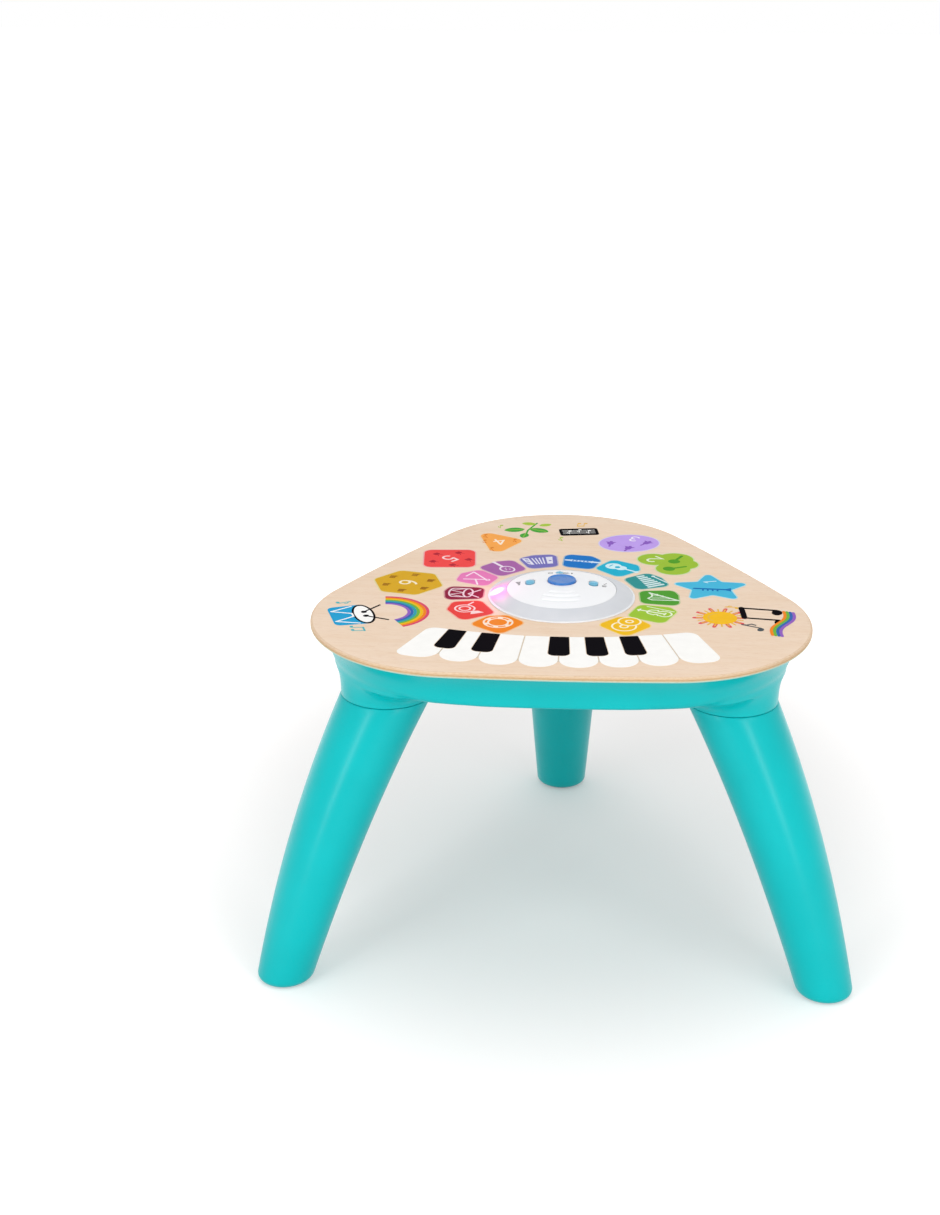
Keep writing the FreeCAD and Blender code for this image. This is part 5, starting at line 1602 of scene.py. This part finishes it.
def regular_outline(x, y, reach, sides, turn, radius):
    """Regular polygon with rounded corners."""
    corners = [tuple(np.array([x, y]) + around(reach, turn + 360 * i / sides)) for i in range(sides)]
    return rounded(corners, [radius] * sides, 9)


def lobed_outline(lobes, steps=160):
    """Outline of discs run together, found along rays from their middle."""
    centre = np.mean([lobe[:2] for lobe in lobes], axis=0)
    outline = []
    for turn in np.linspace(0, 2 * math.pi, steps, endpoint=False):
        ray = np.array([math.cos(turn), math.sin(turn)])
        reach = 0.0
        for x, y, radius in lobes:
            offset = centre - (x, y)
            along = offset @ ray
            inside = along ** 2 - offset @ offset + radius ** 2
            if inside > 0:
                reach = max(reach, -along + math.sqrt(inside))
        outline.append(tuple(centre + ray * reach))
    return outline


def ring_places(x, y, reach, count, first, size):
    """Places on a ring, as (x, y, size, lean)."""
    spots = [np.array([x, y]) + around(reach, first + 360 * i / count) for i in range(count)]
    return tuple((*spot, size, 0) for spot in spots)


print("outlines of the number pads ready")

# %% Number pads
triangle_corners = ((-38, 152), (-66.5, 106), (-86, 178))
oval = placed(ellipse(0, 0, 29, 24, 60), 63, 149, 1.0, 15)
lobes = ((86, 104, 15.5), (106, 105, 17), (103, 79, 16), (114, 92, 13))
number_pads = (
    (1, "one_star", "sky", "#45B8DC", "#0B6FB4",
     star_outline(136, 30.5, 38, 18.5, 92, 3.5), clarinet_shape, (136, 46, 11), ((137, 27, 17, -106),)),
    (2, "two_clover", "leaf", "#9CC035", "#4E9A1E",
     lobed_outline(lobes), shaker_shape, (86, 104, 15), ((107, 104, 15, 20), (104, 81, 15, -20))),
    (3, "three_oval", "lilac", "#C0A0EE", "#8A5CC0",
     oval, bell_shape, (68, 162, 13), ((45, 148, 11, 15), (80, 151, 11, -15), (62, 135, 11, 0))),
    (4, "four_triangle", "apricot", "#F8A850", "#D9751A",
     rounded(triangle_corners, [8.0] * 3, 9), note_shape, (-62, 146, 15),
     ((-68, 124, 7, 0), (-76, 146, 6.5, 0), (-76, 162, 6.5, 0), (-47, 150, 6, 0))),
    (5, "five_square", "coral", "#F04848", "#B01C30",
     regular_outline(-107.5, 95.5, 34, 4, 48, 8), drum_shape, (-107.5, 95.5, 16),
     ring_places(-107.5, 95.5, 18, 5, 66, 6.5)),
    (6, "six_hexagon", "mustard", "#D8A820", "#9C6A10",
     regular_outline(-141, 28, 33, 6, 47, 7), pipes_shape, (-141, 28, 16),
     ring_places(-141, 28, 21, 6, 77, 6.5)),
)
for number, form, tint_name, colour, dark, outline, small, figure, places in number_pads:
    inks = [ink(tint_name, colour), ink(tint_name + "_rim", mixed_code(colour, "#E8F4F4", 0.6)),
            ink(tint_name + "_digit", mixed_code(colour, "#FFFFFF", 0.78)), ink(tint_name + "_small", dark)]
    drawing = [(1, grown(outline, rim_width)), (0, outline)]
    x, y, size = figure
    upright = upright_at(*np.mean(outline, axis=0))
    drawing += [(2, placed(shape, x, y, size, upright)) for shape in digit(number)]
    for px, py, small_size, lean in places:
        drawing += [(3, placed(shape, px, py, small_size, upright + lean)) for shape in small()]
    draw("count_" + form, drawing, inks, "number_" + form)

# %% [markdown]
# ## Corner pictures
# Each corner has a cheerful picture. They are common shapes here: a drum, a rainbow and notes at
# the left, a sun, notes and coloured waves at the right, and at the back leaves, notes and a
# small black plate with lines and notes on it.

# %% Inks of the corner pictures
rainbow = ("#D94A6A", "#F0861A", "#F0BC1A", "#6DB33F", "#2E9FB0", "#3565B0", "#9361C0")
rainbow_inks = [ink("rainbow_%d" % i, code) for i, code in enumerate(rainbow)]
corner_inks = rainbow_inks + [ink_black, ink_grey, ink_white, ink("corner_blue", "#1C9FD2"),
                              ink("corner_teal", "#58B6BE"), ink("corner_yellow", "#F4BE1E"),
                              ink("corner_red", "#E0525A"), ink("corner_gold", "#E6B84A"),
                              ink("corner_green", "#43A336"), ink("corner_lime", "#AFCB45")]
BLACK, GREY, WHITE, BLUE, TEAL, YELLOW, RED, GOLD, GREEN, LIME = range(len(rainbow), len(corner_inks))
print("corner inks", len(corner_inks))


# %% Figures of the corner pictures
def band(x, y, radius, width, start, end):
    """Curved strip between two radii."""
    outer = arc(x, y, radius + width / 2, radius + width / 2, start, end, 20)
    return outer + arc(x, y, radius - width / 2, radius - width / 2, end, start, 20)


def notes(number, x, y, size, turn, pair=False):
    """One quaver, or two joined by a beam."""
    shapes = note_shape()
    if pair:
        shapes = [ellipse(-0.55, -0.6, 0.24, 0.18, 18), ellipse(0.35, -0.45, 0.24, 0.18, 18),
                  stroke([(-0.35, -0.58), (-0.35, 0.6)], 0.1), stroke([(0.55, -0.42), (0.55, 0.78)], 0.1),
                  stroke([(-0.35, 0.6), (0.55, 0.78)], 0.2)]
    return [(number, placed(shape, x, y, size, turn)) for shape in shapes]


def leaf(number, vein, x, y, size, turn):
    """Pointed leaf with a vein."""
    blade = arc(0, -0.42, 0.9, 0.9, 28, 152, 16) + arc(0, 0.42, 0.9, 0.9, 208, 332, 16)
    return [(number, placed(blade, x, y, size, turn)),
            (vein, placed(stroke([(-0.75, 0.0), (0.6, 0.0)], 0.06), x, y, size, turn))]


def rays(number, x, y, inner, outer, count, width):
    """Strokes that point away from a middle."""
    turns = [math.radians(360 * i / count) for i in range(count)]
    return [(number, stroke([(x + inner * math.cos(t), y + inner * math.sin(t)),
                             (x + outer * math.cos(t), y + outer * math.sin(t))], width)) for t in turns]


def wave(x, y, length, height, rise):
    """One long wave on a rising line."""
    shares = np.linspace(0, 1, 25)
    return [(x + length * t, y + rise * t + height * math.sin(2 * math.pi * t)) for t in shares]


print("figures ready")

# %% Left and right corner
left_corner = [(i, band(0, 6, 31 - 2.3 * i, 2.2, 12, 168)) for i in range(7)]
left_corner += [(BLUE, rounded([(-18, -34), (18, -34), (19, -10), (-19, -10)], [5, 5, 1, 1])),
                (BLACK, ellipse(0, -10, 19, 8, 32)), (WHITE, ellipse(0, -10, 16.6, 6.4, 32))]
zigzag = [(-17, -16), (-10, -32), (-3, -18), (3, -18), (10, -32), (17, -16)]
left_corner += [(WHITE, stroke(pair, 1.4)) for pair in zip(zigzag, zigzag[1:])]
for side in (-1, 1):
    left_corner += [(BLACK, stroke([(side * 4, -9), (side * 15, 5)], 1.6))]
    left_corner += [(BLACK, disc(side * 4, -9, 2.2, 16))]
    left_corner += notes(TEAL, side * 27, -20, 7, -side * 12, side > 0)
right_corner = rays(RED, -4, 18, 15, 21, 10, 3.2) + rays(GOLD, -4, 18, 15, 19, 20, 1.4)
right_corner += [(YELLOW, disc(-4, 18, 14, 40)), (GOLD, band(-4, 18, 9.5, 1.4, 20, 160))]
right_corner += notes(BLACK, 13, -14, 24, 8, True) + notes(GREY, -16, -12, 13, -10)
for i, number in enumerate((6, 5, 3, 1)):
    right_corner.append((number, stroke(wave(-27, -38 + 2.6 * i, 54, 3, 2), 2.5)))
right_corner += notes(GOLD, 22, 14, 7, 15)
print("shapes at the left", len(left_corner), "and right", len(right_corner))

# %% Back corner and its placing
back_corner = [(GREEN, stroke([(14, -24), (24, -2), (27, 14)], 1.8))]
for turn, place, size in ((10, (37, -4), 13), (150, (13, -2), 13), (75, (28, 13), 9)):
    back_corner += leaf(GREEN, LIME, *place, size, turn)
back_corner += leaf(LIME, GREEN, 22, -22, 9, -15) + leaf(LIME, GREEN, 6, -18, 8, 200)
back_corner += [(BLACK, rounded(bar(-26, 3, 38, 20, 4), [3] * 4))]
back_corner += [(WHITE, placed(bar(0, 4.5 - 3 * i, 32, 0.6), -26, 3, 1, 4)) for i in range(4)]
for shift, rise in ((-36, 3), (-27, 0), (-17, 4)):
    back_corner += notes(WHITE, shift, rise, 6, 4)
back_corner += notes(LIME, -8, 24, 7, 12) + notes(GOLD, -30, -19, 7, -8, True) + notes(LIME, 50, -14, 6, 0)
corners = (("left", -162, -50, 1.22, left_corner), ("right", 160, -46, 1.08, right_corner),
           ("back", -12, 181, 1.0, back_corner))
for name, x, y, size, drawing in corners:
    shapes = [(number, placed(shape, x, y, size, upright_at(x, y))) for number, shape in drawing]
    draw("picture_" + name, shapes, corner_inks)

# %% [markdown]
# ## Marks on the dome
# Small black signs stand outside the side sliders, growing bars for the volume and a note over
# two lines for the mode, and a ring and a stroke mark off and on at the rear slider. They are pad
# printed, so they are thin plates that follow the dome's height.


# %% Dome marks
def mark_on_dome(bm, outline):
    """Thin closed plate that lies on the dome."""
    points = np.array(anticlockwise(outline))
    level = cap_height(*points.T)
    add_solid(bm, [at_height(points, level + lift) for lift in (-0.15, 0.03)])


marks = [bar(-38.4 - 0.4 * i, 2.6 + 2.6 * i, 1.8 + 0.9 * i, 1.3, -10) for i in range(4)]
marks += [placed(shape, 39.2, 10.4, 3.2, -10) for shape in note_shape()]
marks += [bar(38.6, 4.6, 4.4, 1.1, 12), bar(38.2, 2.2, 3.6, 1.1, 12)]
marks += [stroke(arc(-10.8, 34.0, 1.9, 1.9, start, start + 180, 10), 0.9) for start in (0, 180)]
marks += [bar(8.8, 34.0, 1.2, 4.2)]
bm = bmesh.new()
for outline in marks:
    mark_on_dome(bm, outline)
make_piece("dome_marks", bm, [ink_black], sharp=20)

# %% [markdown]
# ## Return dome of the button
# A hollow silicone dome under the button pushes it back up. It stands on the control board and
# the button's plunger rests on its crown. It is soft, and flattens as the button goes down; the
# mesh here keeps its resting shape.

# %% Return dome
dome_low, dome_high = centred("button_return_dome")
dome_foot, dome_crown, dome_wall = 6.0, 3.2, 1.0
dome_steps = 64
foot_z, crown_z = dome_low[2], dome_high[2]
inner_foot, inner_crown = dome_foot - dome_wall, dome_crown - dome_wall
inside = [(inner_crown - 0.6, crown_z - dome_wall), (inner_crown, crown_z - 1.4), (inner_foot, foot_z + 0.4),
          (inner_foot, foot_z)]
outside = [(dome_foot, foot_z), (dome_foot, foot_z + 0.6), (5.2, foot_z + 1.2), (3.7, crown_z - 0.7),
           (dome_crown - 0.2, crown_z - 0.15), (dome_crown - 0.7, crown_z), (0.3, crown_z)]
bm = bmesh.new()
add_solid(bm, lathe_rows(inside + outside, dome_steps, 0.0, button_y))
bmesh.ops.recalc_face_normals(bm, faces=bm.faces)
return_dome = make_piece("silicone_return_dome", bm, [silicone_grey], replaces=["button_return_dome"],
                         sharp=50)
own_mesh(return_dome)

# %% [markdown]
# ## Screws under the table
# Nine pan-head screws hold the casing to the wood, three along each side, deep in their wells.
# One screw is turned on a lathe of rows: a cross recess is cut in its head and its thread is a
# real helix. A Geometry Nodes tree sets a copy on every point of three short lines.

# %% Zinc-plated steel
zinc_steel, tree, surface = new_material("zinc_plated_steel", "#B8BBBF", 0.32, Metallic=1.0)
stain = scaled_noise(tree, 3.0, 3.0)
add_tint(tree, surface, stain.outputs["Fac"], [(0.3, "#A9ADB2"), (0.55, "#BDC0C4"), (0.75, "#C6C4BC")])
turning = scaled_noise(tree, 0.6, 3.0)
add_gloss(tree, surface, turning.outputs["Fac"], 0.24, 0.42)
add_bump(tree, surface, turning.outputs["Fac"], 0.01)
print("steel ready")

# %% Screw tree
row_names = ("First middle", "Second middle", "Third middle")


def screw_tree(material):
    """A copy of the screw on every point."""
    inputs = {"Screw": "Geometry", **dict.fromkeys(row_names, "Vector"), "Spacing": "Float", "Count": "Int"}
    tree, source = new_tree("screws_on_points", inputs, "Screws")
    rows = []
    for name, side in zip(row_names, side_angles):
        along = math.radians(side + 90)
        step = add(tree, "ShaderNodeVectorMath", {
            0: (math.cos(along), math.sin(along), 0.0), "Scale": source["Spacing"]}, operation="SCALE")
        start = add(tree, "ShaderNodeVectorMath", {0: source[name], 1: step.outputs[0]},
                    operation="SUBTRACT")
        line = add(tree, "GeometryNodeMeshLine", {
            "Count": source["Count"], "Start Location": start.outputs[0], "Offset": step.outputs[0]})
        rows.append(line.outputs[0])
    points = tree.nodes.new("GeometryNodeJoinGeometry")
    for row in rows:
        tree.links.new(row, points.inputs[0])
    copies = add(tree, "GeometryNodeInstanceOnPoints", {
        "Points": points.outputs[0], "Instance": source["Screw"]})
    hand_out(tree, copies.outputs[0], material)
    return tree


screw_rows = screw_tree(zinc_steel)
print("screw tree nodes", len(screw_rows.nodes))

# %% One wood screw
screw_shank = 1.6
screw_head = 3.2
screw_steps = 24
thread_pitch = 1.5
thread_depth = 0.35
slit_reach = 1.9
slit_half = 0.35
slit_depth = 1.2
shank_length = screw_high[2] - head_seat
turn = np.linspace(0, 2 * math.pi, screw_steps, endpoint=False)
head = ((1.7, 0.0), (2.5, 0.2), (3.0, 0.7), (screw_head, 1.3), (screw_head, 2.0), (3.0, screw_head_height),
        (screw_shank, screw_head_height))
rows = lathe_rows([(radius, screw_low[2] + height) for radius, height in head], screw_steps)
for height in np.arange(0.4, shank_length - 1.6, thread_pitch / 8):
    flank = np.abs((height / thread_pitch - turn / (2 * math.pi)) % 1.0 - 0.5) * 2
    radius = screw_shank - thread_depth * flank * min(height / 3.0, 1.0)
    rows.append(at_height(circle(radius, screw_steps), head_seat + height))
tip = ((1.2, 1.4), (0.6, 0.5), (0.2, 0.0))
rows += lathe_rows([(radius, screw_high[2] - drop) for radius, drop in tip], screw_steps)
bm = bmesh.new()
add_solid(bm, [row - (0, dome_y, 0) for row in rows])
bmesh.ops.recalc_face_normals(bm, faces=bm.faces)
for across, along in ((slit_reach, slit_half), (slit_half, slit_reach)):
    slit = bmesh.new()
    add_block(slit, (-across, -along - dome_y, screw_low[2] - 1.0),
              (across, along - dome_y, screw_low[2] + slit_depth))
    bm = cut_with(bm, slit)
print("faces of one screw", len(bm.faces))

# %% Nine wood screws
mesh = bpy.data.meshes.new("one_screw")
bm.to_mesh(mesh)
bm.free()
middles = [tuple(metres([(*around(side_middle, side), 0.0)])[0]) for side in side_angles]
values = {"Spacing": screw_spacing / 1000, "Count": 3, **dict(zip(row_names, middles))}
bm = run_tree(screw_rows, mesh, values)
make_piece("wood_screw_set", bm, [zinc_steel], replaces=["wood_screws"], sharp=35)

# %% [markdown]
# ## Foot pads
# Each leg stands on a rubber pad, a little recessed in the leg's end. Three shallow grooves run
# round its underside and keep it from slipping on a smooth floor.

# %% Foot pads
pad_radius = 17.0
pad_hub = 0.6
groove_reaches = (5.0, 9.0, 13.0)
tread_depth = 0.5
for name in leg_angles:
    low, high = centred("foot_pad_" + name)
    x, y = (low + high)[:2] / 2
    profile = [(pad_hub, 0.0)]
    for reach in groove_reaches:
        profile += [(reach - 0.9, 0.0), (reach - 0.6, tread_depth), (reach + 0.6, tread_depth),
                    (reach + 0.9, 0.0)]
    profile += [(15.8, 0.0), (16.6, 0.25), (pad_radius, 0.9), (pad_radius, pad_height - 0.1),
                (16.9, pad_height), (pad_hub, pad_height)]
    bm = bmesh.new()
    add_solid(bm, lathe_rows(profile, 72, x, y))
    bmesh.ops.recalc_face_normals(bm, faces=bm.faces)
    make_piece("grip_pad_" + name, bm, [rubber_black], body="leg_" + name, replaces=["foot_pad_" + name],
               sharp=30)

# %% [markdown]
# ## Parts inside and below
# The loudspeaker, boards, lamps, batteries and leads keep the shapes of the CAD model, which are
# right as they are, and get their own finishes: green solder mask with paler copper tracks, clear
# lamp resin, sintered ferrite, pressed paper, printed cell sleeves and soft lead insulation.


# %% Finishes of the parts inside
def mottled(name, colours, roughness, width_mm, depth_mm=0.01, **shader):
    """Two tones in a fine noise, with a little relief."""
    material, tree, surface = new_material(name, colours[0], roughness, **shader)
    noise = scaled_noise(tree, width_mm, 4.0)
    add_tint(tree, surface, noise.outputs["Fac"], [(0.35, colours[0]), (0.65, colours[1])])
    add_bump(tree, surface, noise.outputs["Fac"], depth_mm)
    return material


solder_mask, tree, surface = new_material("solder_mask", "#2E6B3E", 0.3, IOR=1.5)
tracks = add(tree, "ShaderNodeTexVoronoi", {"Vector": object_place(tree), "Scale": 420.0},
             feature="DISTANCE_TO_EDGE", distance="CHEBYCHEV")
mask_tint = add_tint(tree, surface, tracks.outputs["Distance"], [(0.03, "#4C9A58"), (0.09, "#2E6B3E")])
add_bump(tree, surface, mask_tint, 0.03)

cell_sleeve, tree, surface = new_material("cell_sleeve", "#C98A2E", 0.28, IOR=1.5)
split = add(tree, "ShaderNodeSeparateXYZ", {0: object_place(tree)})
stripe = math_node(tree, "PINGPONG", math_node(tree, "MULTIPLY", split.outputs["Y"], 1000.0), 9.0)
add_tint(tree, surface, stripe, [(0.1, "#2A2A2C"), (0.14, "#C98A2E"), (0.9, "#D69A3C")])
print("board and sleeve finishes ready")

# %% Finish of each part
finishes = {
    solder_mask: ("led_board", "control_board", "main_board"),
    mottled("lamp_resin", ("#F4EFD8", "#EDE6C8"), 0.15, 1.0, 0.002, IOR=1.54): ("leds",),
    mottled("ferrite", ("#2B2B2D", "#363639"), 0.6, 0.5, 0.02): ("speaker_magnet",),
    mottled("cone_paper", ("#24262A", "#2E3035"), 0.85, 0.8, 0.04): ("speaker_cone",),
    mottled("lead_red", ("#B2382F", "#A8332B"), 0.4, 3.0, 0.004): ("battery_leads",),
    mottled("lead_black", ("#242424", "#2B2B2B"), 0.4, 3.0, 0.004): ("speaker_leads",),
    mottled("polyester_film", ("#C9CDD1", "#C1C6CA"), 0.3, 12.0, 0.004): ("sensor_sheet", "sensor_ribbon"),
    cell_sleeve: ("batteries",),
    zinc_steel: ("battery_contacts", "door_screw_left", "door_screw_right", "module_screws",
                 "speaker_basket"),
    polypropylene_turquoise: ("battery_door",),
    abs_grey: ("module_carrier", "battery_box"),
    abs_dark: ("slide_switches", "volume_stem", "mode_stem", "power_stem", "board_parts"),
}
for material, names in finishes.items():
    for name in names:
        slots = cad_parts[name].data.materials
        slots.clear()
        slots.append(material)
print("inner parts finished", sum(len(names) for names in finishes.values()))

# %% [markdown]
# ## Floor, light and camera
# The table stands on a white studio floor. A large soft panel hangs above and two stand in front,
# left and right of the camera. Two low upright strips draw the long highlight down each leg. For
# camera, mirror and glass rays the floor shines a little more, and far away it turns as white as
# the sky, so the background is white. That extra shine is least round a point just behind the
# table's middle, so it paints shade round and under the table over its real shadow.

# %% Floor
floor_size = 8.0
white = (1.0, 1.0, 1.0, 1.0)
floor_material, tree, surface = new_material("studio_floor", "#DCD9D8", 0.9, Specular_IOR_Level=0.0)
# The extra shine grows with the distance from a point just behind the table's middle: its weakest part is a
# painted shade round and under the table.
stretch = add(tree, "ShaderNodeVectorMath", {
    0: object_place(tree), 1: (1.5, 1.0, 1.0), 2: (0.0, -0.12, 0.0)}, operation="MULTIPLY_ADD")
distance = add(tree, "ShaderNodeVectorMath", {0: stretch.outputs[0]}, operation="LENGTH")
lift = add(tree, "ShaderNodeMapRange", {
    "Value": distance.outputs["Value"], "From Min": 0.27, "From Max": 1.1, "To Min": 0.27, "To Max": 1.0},
    interpolation_type="SMOOTHSTEP")


def background_ray(tree):
    """One for rays that show the background: camera, mirror and glass rays."""
    paths = add(tree, "ShaderNodeLightPath").outputs
    first = math_node(tree, "MAXIMUM", paths["Is Camera Ray"], paths["Is Glossy Ray"])
    return math_node(tree, "MAXIMUM", first, paths["Is Transmission Ray"])


shine_with_painted_shade = math_node(tree, "MULTIPLY", lift.outputs[0], background_ray(tree))
surface.inputs["Emission Color"].default_value = white
tree.links.new(shine_with_painted_shade, surface.inputs["Emission Strength"])
bm = bmesh.new()
bmesh.ops.create_grid(bm, x_segments=1, y_segments=1, size=floor_size)
mesh = bpy.data.meshes.new("studio_floor")
bm.to_mesh(mesh)
bm.free()
mesh.materials.append(floor_material)
floor = bpy.data.objects.new("studio_floor", mesh)
bpy.context.scene.collection.objects.link(floor)
print("floor", 2 * floor_size, "m wide")

# %% Sky
world = bpy.data.worlds.new("studio_sky")
bpy.context.scene.world = world
world.use_nodes = True
sky = world.node_tree
background = sky.nodes["Background"]
strength = add(sky, "ShaderNodeMapRange", {"Value": background_ray(sky), "To Min": 0.56, "To Max": 1.0})
sky.links.new(strength.outputs[0], background.inputs["Strength"])
background.inputs["Color"].default_value = white
print("sky ready")


# %% Lamps
def soft_panel(name, place, towards, size, watts):
    """Rectangular white area lamp at a place, facing a point."""
    lamp_data = bpy.data.lights.new(name, "AREA")
    lamp_data.shape = "RECTANGLE"
    lamp_data.size, lamp_data.size_y = size
    lamp_data.energy = watts
    lamp_object = bpy.data.objects.new(name, lamp_data)
    aim = Vector(towards) - Vector(place)
    turned = aim.to_track_quat("-Z", "Y").to_matrix().to_4x4()
    lamp_object.matrix_world = Matrix.Translation(place) @ turned
    bpy.context.scene.collection.objects.link(lamp_object)
    print(name, watts, "W")


soft_panel("panel_above", (0.0, -0.1, 2.1), (0.0, -0.02, 0.25), (1.6, 1.6), 9.0)
soft_panel("panel_left", (-1.3, -1.5, 1.75), (0.0, -0.05, 0.2), (0.9, 1.4), 8.0)
soft_panel("panel_right", (1.3, -1.5, 1.75), (0.0, -0.05, 0.2), (0.9, 1.4), 8.0)
soft_panel("strip_left", (-1.0, -1.5, 0.5), (-0.1, -0.1, 0.2), (0.2, 0.8), 5.0)
soft_panel("strip_right", (0.85, -1.6, 0.5), (0.1, -0.1, 0.2), (0.2, 0.8), 5.0)

# %% Camera
camera_data = bpy.data.cameras.new("camera")
camera_data.sensor_fit = "VERTICAL"
camera_data.sensor_height = 36.0
camera_data.lens = 62.03
camera_data.shift_x = -0.01415
camera_data.shift_y = -0.00505
camera = bpy.data.objects.new("camera", camera_data)
camera_place = (0.01903, -1.82626, 0.98930)
turn_side = math.radians(2.79)
elevation = math.radians(20.95)
roll = math.radians(0.2)
right = Vector((math.cos(turn_side), math.sin(turn_side), 0.0))
forward = Vector((-math.sin(turn_side) * math.cos(elevation), math.cos(turn_side) * math.cos(elevation),
                  -math.sin(elevation)))
up = right.cross(forward)
tilted_right = right * math.cos(roll) + up * math.sin(roll)
tilted_up = up * math.cos(roll) - right * math.sin(roll)
turned = Matrix((tilted_right, tilted_up, -forward)).transposed().to_4x4()
camera.matrix_world = Matrix.Translation(camera_place) @ turned
bpy.context.scene.collection.objects.link(camera)
bpy.context.scene.camera = camera
bpy.context.scene.view_settings.view_transform = "Standard"
print("camera lens", camera_data.lens, "mm")

# %% Update the scene
bpy.context.view_layer.update()
